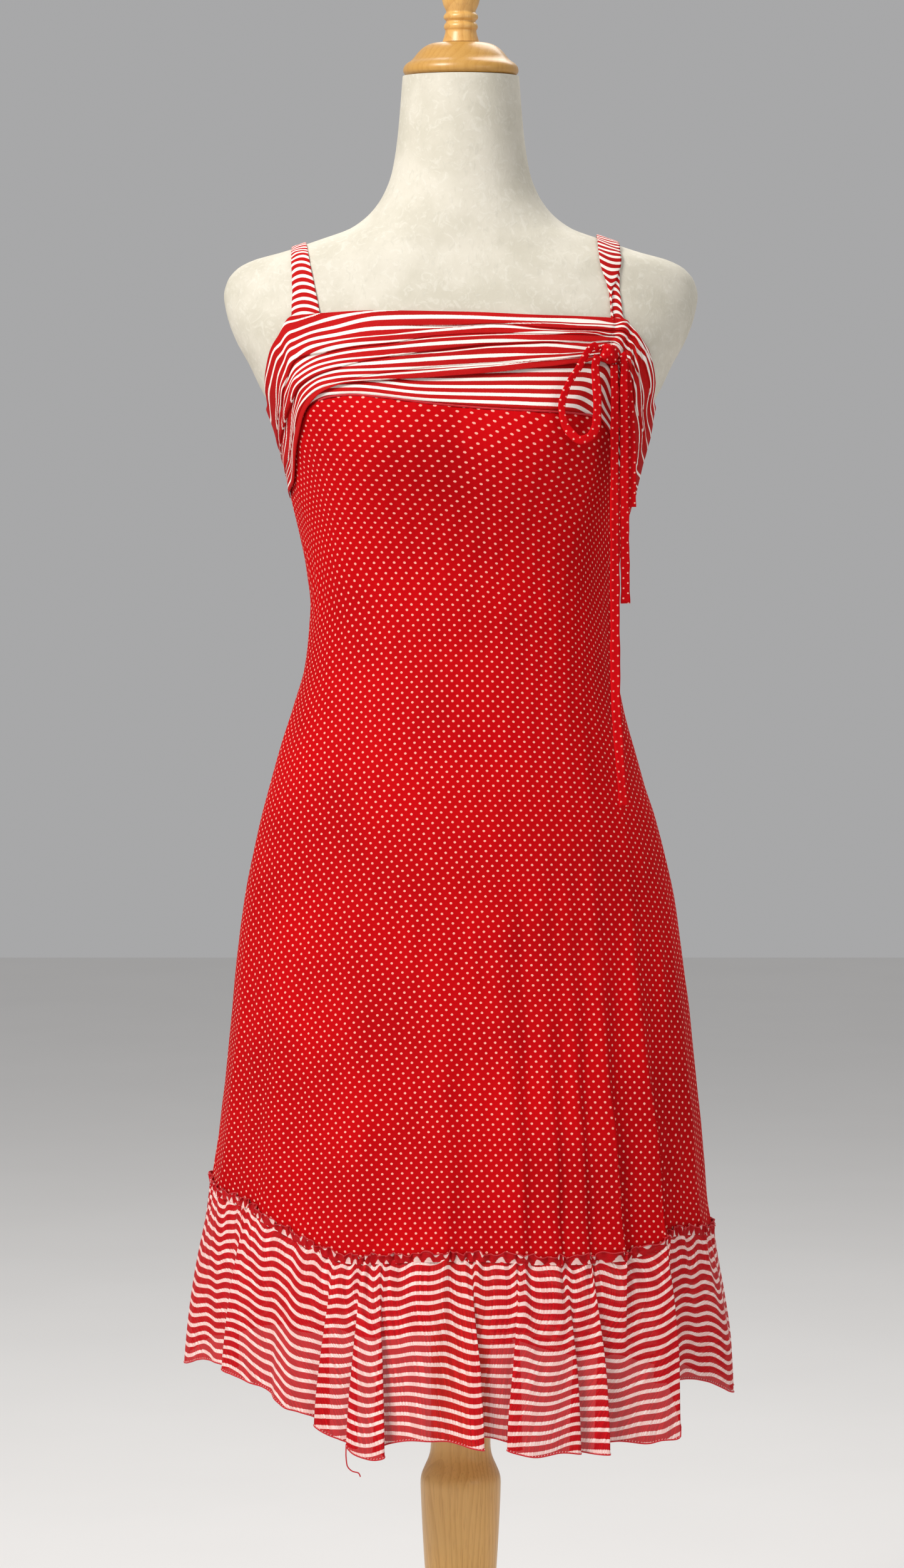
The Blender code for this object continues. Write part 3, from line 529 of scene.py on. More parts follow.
mottled_cover = make_cover_finish()
print("cover finish:", mottled_cover.name)

# %% [markdown]
# ## Lacquered pine
# The cap, finial, pole and foot are turned from golden pine. Its growth rings run along the turning, so on the side
# they show as long uneven lines, drawn here by a noise that is stretched along the height, on top of wide rings
# round an axis a little beside the middle. A test on the height darkens the neck cap's colour: this is painted
# shade, as the cap is the same pine as the rest. A satin lacquer is a thin clear coat.

# %% Lacquered pine
EARLY_WOOD = (0.720, 0.405, 0.112)
LATE_WOOD = (0.560, 0.280, 0.062)
GRAIN_BROWN = (0.460, 0.210, 0.050)
PALE_WOOD = (0.780, 0.480, 0.170)
CAP_PAINTED_SHADE = (0.420, 0.200, 0.022)
RINGS_TO_A_METRE = 190.0
HEART_ASIDE = (0.031, 0.018)
CAP_FROM = 1.0
CAP_TO = 1.5426


def make_pine_finish():
    material, tree, shader = new_finish("Lacquered pine", 0.42, gloss=0.45)
    shader.inputs["Coat Weight"].default_value = 0.35
    shader.inputs["Coat Roughness"].default_value = 0.22
    wander = cloudy(tree, object_place(tree, (1.0, 1.0, 0.18)), 14.0, detail=2.0)
    x, y, height = split(tree, object_place(tree))
    x = plus(tree, x, HEART_ASIDE[0])
    y = plus(tree, y, HEART_ASIDE[1])
    ring = sums(tree, "SQRT", plus(tree, times(tree, x, x), times(tree, y, y)))
    ring = plus(tree, times(tree, ring, RINGS_TO_A_METRE), times(tree, wander, 16.0))
    late = between(tree, sums(tree, "FRACT", ring), 0.45, 0.95)
    fine = cloudy(tree, object_place(tree, (1.0, 1.0, 0.035)), 900.0, detail=2.0)
    tone = cloudy(tree, object_place(tree), 16.0, detail=3.0)
    wood = blend(tree, times(tree, late, 0.55), EARLY_WOOD, LATE_WOOD)
    wood = blend(tree, times(tree, between(tree, fine, 0.50, 0.72), 0.40), wood, GRAIN_BROWN)
    wood = blend(tree, times(tree, between(tree, tone, 0.45, 0.75), 0.35), wood, PALE_WOOD)
    # Painted shade: a test on the height darkens the neck cap, which is the same pine as the rest.
    under_finial = sums(tree, "LESS_THAN", height, CAP_TO)
    cap_painted_shade = times(tree, sums(tree, "GREATER_THAN", height, CAP_FROM), under_finial)
    wood = blend(tree, times(tree, cap_painted_shade, 0.55), wood, CAP_PAINTED_SHADE)
    tree.links.new(wood, shader.inputs["Base Color"])
    bumps(tree, shader, fine, 0.00012, 0.35)
    return material


lacquered_pine = make_pine_finish()
print("wood finish:", lacquered_pine.name)

# %% [markdown]
# ## Pieces from rows of points
# A cloth piece is a grid: rows of points from its top edge to its hem. The grid carries a UV map in metres, found by
# adding up the distances along the rows and down the columns, as if the cloth were laid flat again. Solidify then
# gives the sheet its thickness, inwards, so that the outer face stays on its numbers.


# %% Make a sheet of cloth
def place_on_cloth(points, middle=None):
    """Across and along distances on a grid, in metres, measured from a column in the middle."""
    step = np.linalg.norm(np.diff(points, axis=1), axis=-1)
    across = np.concatenate([np.zeros((len(points), 1)), np.cumsum(step, axis=1)], axis=1)
    if middle is not None:
        across = across - across[:, middle][:, None]
    step = np.linalg.norm(np.diff(points, axis=0), axis=-1)
    along = np.concatenate([np.zeros((1, points.shape[1])), np.cumsum(step, axis=0)], axis=0)
    return np.stack([across, along], axis=-1)


def finish_piece(piece, name, material):
    """Names a piece, gives it its finish, and hangs it on the only body."""
    piece.name = name
    piece.data.name = name
    piece.data.materials.clear()
    piece.data.materials.append(material)
    for owner in list(piece.users_collection):
        owner.objects.unlink(piece)
    whole_dress.objects.link(piece)
    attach(piece, "root")
    return piece


def only_select(piece):
    bpy.ops.object.select_all(action="DESELECT")
    piece.select_set(True)
    bpy.context.view_layer.objects.active = piece


def face_outward(piece, fill_ends=False):
    """Turns every face of a piece outward, after filling its open ends where it has any."""
    only_select(piece)
    bpy.ops.object.mode_set(mode="EDIT")
    bpy.ops.mesh.select_all(action="SELECT")
    if fill_ends:
        bpy.ops.mesh.region_to_loop()
        bpy.ops.mesh.fill_holes(sides=0)
        bpy.ops.mesh.select_all(action="SELECT")
    bpy.ops.mesh.normals_make_consistent(inside=False)
    bpy.ops.object.mode_set(mode="OBJECT")


def sheet_mesh(name, points, cloth, closed_round=False):
    """A grid of faces whose rows run down and whose columns run to the viewer's right."""
    rows, columns = points.shape[:2]
    number = np.arange(rows * columns).reshape(rows, columns)
    if closed_round:
        number = np.concatenate([number, number[:, :1]], axis=1)
        cloth = np.concatenate([cloth, cloth[:, :1]], axis=1)
    quads = np.stack([number[:-1, :-1], number[1:, :-1], number[1:, 1:], number[:-1, 1:]], axis=-1).reshape(-1, 4)
    flat = cloth.reshape(-1, 2)
    order = np.arange(flat.shape[0]).reshape(cloth.shape[:2])
    corner = np.stack([order[:-1, :-1], order[1:, :-1], order[1:, 1:], order[:-1, 1:]], axis=-1).reshape(-1)
    mesh = bpy.data.meshes.new(name)
    mesh.from_pydata(points.reshape(-1, 3).tolist(), [], quads.tolist())
    layer = mesh.uv_layers.new(name="Cloth")
    layer.data.foreach_set("uv", flat[corner].ravel())
    mesh.shade_smooth()
    return mesh


def make_cloth(name, points, cloth, material, wall=0.0):
    """A sheet of cloth from its points, with a wall where it has one."""
    piece = bpy.data.objects.new(name, sheet_mesh(name, points, cloth))
    bpy.context.scene.collection.objects.link(piece)
    if wall:
        only_select(piece)
        solid = piece.modifiers.new("Thickness", "SOLIDIFY")
        solid.thickness = wall
        solid.offset = -1.0
        solid.use_rim = True
        bpy.ops.object.modifier_apply(modifier=solid.name)
    return finish_piece(piece, name, material)


print("sheets carry a UV map called Cloth, in metres")

# %% [markdown]
# ## The tie
# A flat tie of dotted jersey closes the gather on the viewer's right: a knot, one loop and three hanging tails.
# Each strand is a cord, so it has a route through a few points, the same as its solid's, and a real
# length. The strand is a flattened tube: two layers of jersey turned inside out, with a soft groove down the middle.

# %% Routes of the tie
LOOP_ROUTE = (
    # x, y, z, width
    (0.1117, -0.1010, 1.2893, 0.0058),
    (0.1075, -0.1020, 1.2925, 0.0060),
    (0.1030, -0.1045, 1.2885, 0.0060),
    (0.0948, -0.1085, 1.2745, 0.0056),
    (0.0861, -0.1135, 1.2607, 0.0056),
    (0.0810, -0.1170, 1.2431, 0.0062),
    (0.0830, -0.1190, 1.2305, 0.0066),
    (0.0881, -0.1190, 1.2225, 0.0070),
    (0.0962, -0.1180, 1.2165, 0.0072),
    (0.1042, -0.1160, 1.2195, 0.0074),
    (0.1093, -0.1135, 1.2305, 0.0075),
    (0.1098, -0.1115, 1.2481, 0.0075),
    (0.1090, -0.1090, 1.2632, 0.0075),
    (0.1082, -0.1065, 1.2758, 0.0072),
    (0.1105, -0.1040, 1.2845, 0.0066),
)
LONG_TAIL = (
    (0.1237, -0.0950, 1.2775, 0.0062),
    (0.1240, -0.0955, 1.2640, 0.0066),
    (0.1243, -0.0960, 1.2431, 0.0070),
    (0.1243, -0.0960, 1.1876, 0.0074),
    (0.1248, -0.0960, 1.1167, 0.0083),
    (0.1256, -0.0960, 1.0151, 0.0082),
    (0.1288, -0.0960, 0.9642, 0.0078),
    (0.1325, -0.0960, 0.9188, 0.0075),
)
MID_TAIL = (
    (0.1300, -0.0917, 1.2866, 0.0054),
    (0.1315, -0.0916, 1.2846, 0.0056),
    (0.1322, -0.0915, 1.2780, 0.0060),
    (0.1319, -0.0914, 1.2583, 0.0068),
    (0.1323, -0.0912, 1.2179, 0.0074),
    (0.1330, -0.0910, 1.1420, 0.0080),
    (0.1337, -0.0910, 1.0841, 0.0082),
)
SHORT_TAIL = (
    (0.1280, -0.0884, 1.2840, 0.0050),
    (0.1325, -0.0870, 1.2790, 0.0054),
    (0.1350, -0.0862, 1.2680, 0.0060),
    (0.1368, -0.0858, 1.2482, 0.0064),
    (0.1388, -0.0855, 1.2078, 0.0068),
    (0.1390, -0.0855, 1.1622, 0.0070),
)
RIBBON_FACING = np.array((0.35, -0.94, 0.0))
RIBBON_THICK = 0.0016
OUTLINE_POINTS = 20


def along_route(route, step=0.0025):
    """Points every few millimetres on a smooth curve through a route, with the strand's width at each."""
    rows = np.array(route)
    gaps = np.linalg.norm(np.diff(rows[:, :3], axis=0), axis=1)
    at_rows = np.concatenate([[0.0], np.cumsum(gaps)])
    at = np.linspace(0.0, at_rows[-1], max(16, int(at_rows[-1] / step)))
    return np.stack([smooth(at_rows, rows[:, n], at) for n in range(4)], axis=-1)


def make_strand(name, route, groove, twist_degrees=0.0):
    """A flattened tube along a route: a closed outline, swept and capped."""
    path = along_route(route)
    ahead = np.gradient(path[:, :3], axis=0)
    ahead /= np.linalg.norm(ahead, axis=1, keepdims=True)
    side = np.cross(ahead, RIBBON_FACING)
    side /= np.linalg.norm(side, axis=1, keepdims=True)
    through = np.cross(side, ahead)
    share = np.linspace(0.0, 1.0, len(path))
    turn = np.radians(twist_degrees) * np.sin(np.pi * 2.0 * share)
    side, through = (side * np.cos(turn)[:, None] + through * np.sin(turn)[:, None],
                     through * np.cos(turn)[:, None] - side * np.sin(turn)[:, None])
    round_it = np.linspace(0.0, 2 * np.pi, OUTLINE_POINTS, endpoint=False)
    wide = np.sign(np.cos(round_it)) * np.abs(np.cos(round_it)) ** 0.7
    deep = np.sign(np.sin(round_it)) * np.abs(np.sin(round_it)) ** 0.8
    notch = 1.0 - groove * np.exp(-((wide / 0.16) ** 2))
    ripple = 1.0 + 0.05 * np.sin(37.0 * share + 2.0) + 0.03 * np.sin(91.0 * share)
    points = (path[:, None, :3]
              + side[:, None, :] * (wide[None, :] * path[:, 3:4] * 0.5 * ripple[:, None])[..., None]
              + through[:, None, :] * (deep * notch * RIBBON_THICK * 0.5)[None, :, None])
    lengths = np.concatenate([[0.0], np.cumsum(np.linalg.norm(np.diff(path[:, :3], axis=0), axis=1))])
    cloth = np.stack(np.broadcast_arrays(wide[None, :] * path[:, 3:4] * 0.5 + DOT_STEP * 0.25,
                                         lengths[:, None]), axis=-1)
    mesh = sheet_mesh(name, points, cloth, closed_round=True)
    piece = bpy.data.objects.new(name, mesh)
    bpy.context.scene.collection.objects.link(piece)
    face_outward(piece, fill_ends=True)
    finish_piece(piece, name, dotted_ribbon)
    return piece, path[:, :3], float(lengths[-1])


# %% Loop and tails
STRANDS = (
    # piece, route, what its far end is, how it lies, depth of its middle groove, gentle twist in degrees
    ("tie_loop", LOOP_ROUTE, "object", "loose", 0.25, 0.0),
    ("tie_tail_long", LONG_TAIL, "bare", "hanging", 0.70, 7.0),
    ("tie_tail_mid", MID_TAIL, "bare", "hanging", 0.45, -6.0),
    ("tie_tail_short", SHORT_TAIL, "bare", "hanging", 0.45, 5.0),
)
for node_name, route, far_end, lay, groove, twist in STRANDS:
    strand, strand_path, strand_length = make_strand(node_name + "_cloth", route, groove, twist)
    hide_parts(node_name)
    print(node_name, "is", round(strand_length * 1000), "mm long")

# %% [markdown]
# ## The knot
# The knot is the same flat tie, pulled tight: a rounded lump with a band wrapped over it. A ball is squeezed into
# the lump, wrinkled by a few listed grooves, and a flattened ring makes the wrap.

# %% Knot
KNOT_CENTRE = np.array((0.1195, -0.0952, 1.2860))
KNOT_SIZE = np.array((0.0184, 0.0120, 0.0164))
KNOT_TURN = math.radians(39.5)
KNOT_GROOVES = (
    # start, slant, width, depth, in widths of the ball
    (0.00, -0.50, 0.070, 0.10),
    (0.30, 0.35, 0.050, 0.08),
    (-0.34, 0.20, 0.045, 0.07),
)
WRAP_ASIDE = 0.02


def lay_flat_uv(piece):
    """A UV map in metres from the piece's width and height, for a pattern on a small lump."""
    mesh = piece.data
    for layer in list(mesh.uv_layers):
        mesh.uv_layers.remove(layer)
    layer = mesh.uv_layers.new(name="Cloth")
    for loop in mesh.loops:
        place = mesh.vertices[loop.vertex_index].co
        layer.data[loop.index].uv = (place.x * 1.25 + 0.004, place.z)


bpy.ops.object.select_all(action="DESELECT")
bpy.ops.mesh.primitive_uv_sphere_add(segments=48, ring_count=28, radius=0.5, location=(0.0, 0.0, 0.0))
knot = bpy.context.active_object
for vertex in knot.data.vertices:
    place = vertex.co
    groove = sum(deep * math.exp(-(((place.x + start + slant * place.z) / wide) ** 2))
                 for start, slant, wide, deep in KNOT_GROOVES)
    waist = 0.10 * math.exp(-((place.z / 0.16) ** 2))
    vertex.co = place * (1.0 - groove - waist)
    vertex.co.x += 0.05 * math.sin(7.0 * place.z)
bpy.ops.object.select_all(action="DESELECT")
bpy.ops.mesh.primitive_torus_add(major_segments=44, minor_segments=14, major_radius=0.40, minor_radius=0.13,
                                 location=(WRAP_ASIDE, 0.0, 0.0), rotation=(0.0, math.radians(68.0), 0.0))
wrap = bpy.context.active_object
bpy.ops.object.transform_apply(location=True, rotation=True, scale=True)
for vertex in wrap.data.vertices:
    vertex.co.x = WRAP_ASIDE + (vertex.co.x - WRAP_ASIDE) * 1.25
    vertex.co.y *= 1.06
bpy.ops.object.select_all(action="DESELECT")
wrap.select_set(True)
knot.select_set(True)
bpy.context.view_layer.objects.active = knot
bpy.ops.object.join()
knot.data.shade_smooth()
turned = np.array((
    (math.cos(KNOT_TURN), -math.sin(KNOT_TURN), 0.0),
    (math.sin(KNOT_TURN), math.cos(KNOT_TURN), 0.0),
    (0.0, 0.0, 1.0),
))
for vertex in knot.data.vertices:
    vertex.co = turned @ (np.array(vertex.co) * KNOT_SIZE) + KNOT_CENTRE
lay_flat_uv(knot)
finish_piece(knot, "tie_knot_cloth", dotted_ribbon)
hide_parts("tie_knot")
print("knot:", len(knot.data.polygons), "faces")

# %% [markdown]
# ## The form
# The padded body is one smooth surface through the outlines, closed at the neck and below the hips. Its solid has 44
# points to a ring. Here the rings are finer, so that the shoulders and bust are smooth against the light, and the
# lower rim is a soft edge.

# %% Form body
RING_POINTS = 176
form_heights = np.concatenate([np.linspace(1.5150, 1.4300, 14, endpoint=False),
                               np.linspace(1.4300, 1.3300, 40, endpoint=False),
                               np.linspace(1.3300, 0.7300, 84, endpoint=False), np.linspace(0.7300, 0.7000, 12)])
ring_degrees = np.arange(RING_POINTS) * 360.0 / RING_POINTS
form_points = on_body(FIGURE, ring_degrees[None, :], form_heights[:, None])
form_place = place_on_cloth(form_points)
form = bpy.data.objects.new("form_body_cover", sheet_mesh("form_body_cover", form_points, form_place,
                                                         closed_round=True))
bpy.context.scene.collection.objects.link(form)
face_outward(form, fill_ends=True)
bpy.ops.object.shade_smooth_by_angle(angle=math.radians(50))
finish_piece(form, "form_body_cover", mottled_cover)
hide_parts("form_body")
print("form:", len(form.data.polygons), "faces")

# %% [markdown]
# ## Turned wood
# On a lathe a piece is a profile that spins. By hand in Blender it can be made the same way: a circle is extruded
# edge by edge, and each new ring is moved and scaled to the profile's next point. Cutting the corners of the profile
# twice rounds it, as sandpaper does.


# %% Turning
def sanded(profile, passes=2):
    """The profile with its corners cut, again and again, its two ends kept."""
    points = np.array(profile, float)
    for _ in range(passes):
        inner = [points[:1]]
        for first, second in zip(points, points[1:]):
            inner.append(np.array([first * 0.75 + second * 0.25, first * 0.25 + second * 0.75]))
        inner.append(points[-1:])
        points = np.concatenate(inner)
    return points


def turn_wood(name, node_name, profile, segments):
    """Extrudes a circle ring by ring down the profile, then fills both ends."""
    rings = sanded(profile)
    bpy.ops.object.select_all(action="DESELECT")
    bpy.ops.mesh.primitive_circle_add(vertices=segments, radius=rings[0][0], fill_type="NOTHING",
                                      location=(0.0, 0.0, rings[0][1]))
    piece = bpy.context.active_object
    bpy.ops.object.transform_apply(location=True, rotation=True, scale=True)
    bpy.ops.object.mode_set(mode="EDIT")
    bpy.ops.mesh.select_all(action="SELECT")
    for (radius, height), (next_radius, next_height) in zip(rings, rings[1:]):
        bpy.ops.mesh.extrude_region_move(TRANSFORM_OT_translate={"value": (0.0, 0.0, next_height - height)})
        grow = next_radius / radius
        bpy.ops.transform.resize(value=(grow, grow, 1.0), center_override=(0.0, 0.0, next_height))
    bpy.ops.object.mode_set(mode="OBJECT")
    face_outward(piece, fill_ends=True)
    bpy.ops.object.shade_smooth_by_angle(angle=math.radians(48))
    finish_piece(piece, name, lacquered_pine)
    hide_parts(node_name)
    print(name, "has", len(piece.data.polygons), "faces")


# %% Cap, finial, pole and foot
NECK_CAP = (
    # radius, height
    (0.0020, 1.5425), (0.0200, 1.5425), (0.0255, 1.5415), (0.0300, 1.5393), (0.0338, 1.5362), (0.0368, 1.5328),
    (0.0388, 1.5300), (0.0412, 1.5276), (0.0446, 1.5256), (0.0468, 1.5232), (0.0477, 1.5204), (0.0474, 1.5180),
    (0.0460, 1.5162), (0.0440, 1.5155), (0.0020, 1.5153),
)
FINIAL = (
    (0.0008, 1.6219), (0.0050, 1.6205), (0.0105, 1.6120), (0.0152, 1.6000), (0.0170, 1.5870), (0.0152, 1.5745),
    (0.0122, 1.5685), (0.0120, 1.5672), (0.0137, 1.5655), (0.0143, 1.5638), (0.0141, 1.5620), (0.0121, 1.5603),
    (0.0121, 1.5592), (0.0136, 1.5575), (0.0141, 1.5556), (0.0137, 1.5538), (0.0126, 1.5524), (0.0134, 1.5490),
    (0.0146, 1.5450), (0.0152, 1.5434), (0.0152, 1.5428), (0.0008, 1.5428),
)
POLE = (
    (0.0010, 0.6997), (0.0240, 0.6997), (0.0250, 0.6980), (0.0250, 0.3760), (0.0253, 0.3690), (0.0268, 0.3620),
    (0.0302, 0.3545), (0.0332, 0.3475), (0.0339, 0.3420), (0.0338, 0.3360), (0.0330, 0.3150), (0.0312, 0.2800),
    (0.0270, 0.2200), (0.0238, 0.1600), (0.0236, 0.1200), (0.0252, 0.1000), (0.0300, 0.0880), (0.0370, 0.0810),
    (0.0390, 0.0770), (0.0390, 0.0705), (0.0010, 0.0703),
)
FOOT = (
    (0.0010, 0.0700), (0.0440, 0.0700), (0.0470, 0.0690), (0.0530, 0.0630), (0.0620, 0.0590), (0.0900, 0.0505),
    (0.1350, 0.0405), (0.1440, 0.0390), (0.1500, 0.0355), (0.1530, 0.0335), (0.1580, 0.0300), (0.1600, 0.0240),
    (0.1600, 0.0080), (0.1590, 0.0030), (0.1550, 0.0000), (0.0010, 0.0000),
)
turn_wood("neck_cap_wood", "neck_cap", NECK_CAP, 96)
turn_wood("finial_wood", "finial", FINIAL, 64)
turn_wood("pole_wood", "pole", POLE, 72)
turn_wood("base_wood", "base", FOOT, 128)

# %% [markdown]
# ## Edges and seams as curves
# A pattern cutter draws the neckline, the arch under the bust and the ruffle's seam as curves. Each is a few heights
# at angles round the body, and both pieces that meet there read the same curve, so they always meet.

# %% Edges and seams
NECK_EDGE = np.array((
    # angle, height
    (-90.0, 1.2400), (-78.0, 1.2450), (-70.0, 1.2595), (-64.0, 1.2730), (-56.0, 1.2900), (-50.0, 1.3015),
    (-43.5, 1.3165), (-35.0, 1.3185), (-20.0, 1.3205), (0.0, 1.3195), (17.0, 1.3170), (32.0, 1.3157),
    (40.5, 1.3145), (46.0, 1.3062), (51.0, 1.2965), (58.5, 1.2820), (66.5, 1.2645), (74.0, 1.2490), (90.0, 1.2400),
))
FOLDED_EDGE = np.array((
    (-90.0, 1.1695), (-72.0, 1.1780), (-64.0, 1.1985), (-56.0, 1.2190), (-48.0, 1.2365), (-40.0, 1.2490),
    (-30.5, 1.2573), (-19.0, 1.2630), (-5.5, 1.2682), (5.0, 1.2712), (21.0, 1.2746), (39.0, 1.2800),
    (46.0, 1.2600), (52.0, 1.2300), (61.0, 1.1895), (73.0, 1.1690), (90.0, 1.1660),
))
ARCH_EDGE = np.array((
    (-90.0, 1.1680), (-76.0, 1.1830), (-70.0, 1.1990), (-64.0, 1.2140), (-56.0, 1.2325), (-50.0, 1.2430),
    (-45.0, 1.2485), (-39.0, 1.2525), (-31.0, 1.2540), (-23.0, 1.2525), (-6.0, 1.2465), (10.5, 1.2425),
    (29.0, 1.2400), (42.5, 1.2364), (47.0, 1.2279), (50.5, 1.2182), (61.0, 1.1879), (73.0, 1.1671), (90.0, 1.1640),
))
BACK_NECK_EDGE = np.array((
    (90.0, 1.2400), (110.0, 1.2480), (140.0, 1.2600), (180.0, 1.2620), (220.0, 1.2600), (250.0, 1.2480),
    (270.0, 1.2400),
))
BACK_BAND_EDGE = np.array(((90.0, 1.1640), (270.0, 1.1680)))
RUFFLE_SEAM = np.array((
    (-90.0, 0.5980), (-55.0, 0.5900), (-43.0, 0.5760), (-34.0, 0.5640), (-24.0, 0.5540), (0.0, 0.5580),
    (22.0, 0.5530), (38.0, 0.5530), (46.0, 0.5600), (56.0, 0.5670), (78.0, 0.5590), (90.0, 0.5570),
    (135.0, 0.5600), (180.0, 0.5700), (225.0, 0.5860), (270.0, 0.5980),
))


def edge_height(edge, degrees):
    """The height of an edge at these angles."""
    return smooth(edge[:, 0], edge[:, 1], degrees)


print("the arch is highest at", round(float(ARCH_EDGE[:, 1].max()), 4), "m")

# %% [markdown]
# ## Folds of the skirt
# Below the hips the A-line skirt has more cloth than the body needs, so it falls into soft flutes. Each flute is a
# ridge that starts at the hips and deepens to the ruffle's seam. Two of them, near the lower right, have toppled
# over: the ridge leans sideways until the cloth lies over itself. Leaning moves points round the body as well as out.
# Beside the side seams nothing leans, so the front and the back always meet there.

# %% Flutes and creases
FLUTES = (
    # angle at the hips, angle at the seam, how far it stands out, width, lean in degrees
    (-72.0, -70.0, 0.0032, 5.0, 0.0),
    (-54.0, -46.0, 0.0046, 5.5, -1.0),
    (-40.0, -36.0, 0.0016, 3.0, 0.0),
    (-29.0, -24.0, 0.0040, 6.0, 1.5),
    (-6.0, -4.0, 0.0042, 4.0, 1.5),
    (8.0, 11.0, 0.0046, 3.8, 1.8),
    (21.5, 19.0, 0.0052, 3.4, 2.2),
    (29.0, 26.0, 0.0044, 2.8, 2.4),
    (38.5, 33.2, 0.0062, 3.2, 4.6),
    (52.0, 46.2, 0.0066, 3.4, 5.2),
    (73.0, 68.0, 0.0035, 5.0, 1.0),
    (104.0, 106.0, 0.0042, 5.5, 1.0),
    (124.0, 121.0, 0.0046, 4.5, -1.5),
    (143.0, 146.0, 0.0052, 4.5, 2.0),
    (163.0, 160.0, 0.0042, 4.0, -1.5),
    (181.0, 184.0, 0.0052, 4.5, 2.2),
    (201.0, 199.0, 0.0042, 4.5, 1.0),
    (222.0, 226.0, 0.0048, 5.0, -2.0),
    (246.0, 243.0, 0.0042, 5.5, 1.0),
)
FLUTE_TOP = 0.93
FLUTE_FULL = 0.62
LEAN_TOP = 0.76
LEAN_FULL = 0.60
SIDE_FROM = 84.0
SIDE_FADE = 5.5
SEAM_PUCKER = (0.014, 0.0009)

CREASES = (
    # angle at the top, angle below, top height, lower height, depth, width in degrees
    (-76.0, -73.0, 1.17, 1.02, 0.0009, 1.6),
    (-69.0, -67.0, 1.16, 1.04, 0.0007, 1.3),
    (-61.0, -58.0, 1.14, 1.00, 0.0004, 1.8),
    (66.0, 62.0, 1.17, 1.03, 0.0008, 1.6),
    (75.0, 72.0, 1.16, 1.05, 0.0006, 1.4),
    (-12.0, -10.0, 0.90, 0.56, 0.0008, 1.6),
    (3.0, 4.0, 0.86, 0.56, 0.0009, 1.5),
    (15.0, 15.0, 0.88, 0.56, -0.0008, 1.3),
    (26.0, 24.0, 0.72, 0.55, 0.0016, 1.1),
    (63.0, 60.0, 0.84, 0.56, 0.0010, 1.8),
    (-34.0, -31.0, 0.80, 0.56, 0.0008, 1.8),
    (-62.0, -58.0, 0.82, 0.56, 0.0010, 2.0),
    (112.0, 113.0, 0.86, 0.56, 0.0010, 1.8),
    (134.0, 133.0, 0.84, 0.56, 0.0012, 1.6),
    (153.0, 153.0, 0.80, 0.56, -0.0008, 1.5),
    (172.0, 172.0, 0.86, 0.56, 0.0010, 1.5),
    (192.0, 191.0, 0.82, 0.56, 0.0009, 1.5),
    (212.0, 214.0, 0.84, 0.56, 0.0011, 1.8),
    (234.0, 234.0, 0.86, 0.57, 0.0010, 2.0),
    (118.0, 116.0, 1.13, 1.02, 0.0005, 2.5),
    (240.0, 243.0, 1.13, 1.02, 0.0005, 2.5),
)


def ease_in(value):
    """0 below 0, 1 above 1, and smooth in between."""
    value = np.clip(value, 0.0, 1.0)
    return value * value * (3 - 2 * value)


def degrees_apart(first, second):
    """The shorter way round from the second angle to the first."""
    return (first - second + 180.0) % 360.0 - 180.0


def away_from_sides(degrees):
    """1 over most of a front or back piece, falling to 0 beside the side seams, where nothing leans."""
    middle = np.where(degrees < 90.0, 0.0, 180.0)
    return 1.0 - ease_in((np.abs(degrees_apart(degrees, middle)) - SIDE_FROM) / SIDE_FADE)


def hang_of_skirt(degrees, height):
    """How far the skirt's cloth stands out, and how far it leans round, at these places."""
    fade = ease_in((FLUTE_TOP - height) / (FLUTE_TOP - FLUTE_FULL))
    fall = np.clip((FLUTE_TOP - height) / (FLUTE_TOP - FLUTE_FULL), 0, 1)
    topple = ease_in((LEAN_TOP - height) / (LEAN_TOP - LEAN_FULL))
    out = np.zeros(np.broadcast(degrees, height).shape)
    turn = np.zeros_like(out)
    for hip_angle, seam_angle, rise, width, lean in FLUTES:
        apart = degrees_apart(degrees, hip_angle + (seam_angle - hip_angle) * fall)
        out = out + rise * np.exp(-((apart / width) ** 2)) * fade
        turn = turn + lean * np.exp(-(((apart + 0.15 * width) / (width * 0.8)) ** 2)) * topple
    for top_angle, low_angle, top, low, depth, width in CREASES:
        down = np.clip((top - height) / (top - low), 0, 1)
        apart = degrees_apart(degrees, top_angle + (low_angle - top_angle) * down)
        shown = ease_in((top - height) / 0.05) * ease_in((height - low) / 0.03 + (1.0 if low < 0.6 else 0.0))
        out = out + depth * np.exp(-((apart / width) ** 2)) * shown
    unrest = 0.00030 * np.sin(degrees * 0.31 + height * 41.0) * np.sin(height * 33.0 + 1.0)
    unrest = unrest + 0.00018 * np.sin(degrees * 0.83 - height * 57.0 + 0.7)
    return out + unrest, turn


def pucker(degrees, distance, reach, depth):
    """Small gathers beside a sewn edge, at a distance below or above it, in metres."""
    ripple = np.sin(degrees * 2.9 + 0.9 * np.sin(degrees * 0.53)) * (0.6 + 0.4 * np.sin(degrees * 0.37 + 1.3))
    return depth * ripple * np.exp(-np.abs(distance) / reach)


print("flutes:", len(FLUTES), "and smaller creases:", len(CREASES))

# %% [markdown]
# ## Dotted front and back
# The two large panels run from the yoke to the ruffle's seam. They could be draped by simulation, but the form
# already holds their shape, and flutes placed one by one fall where the photograph shows them. The rows of dots tilt
# a little at the bust, where the jersey is pulled up to one side, and the dots are wider there, where it is
# stretched.

# %% Dress panels
SEAM_GAP = 0.0003
ARCH_GAP = 0.0006
JERSEY_WALL = 0.0009

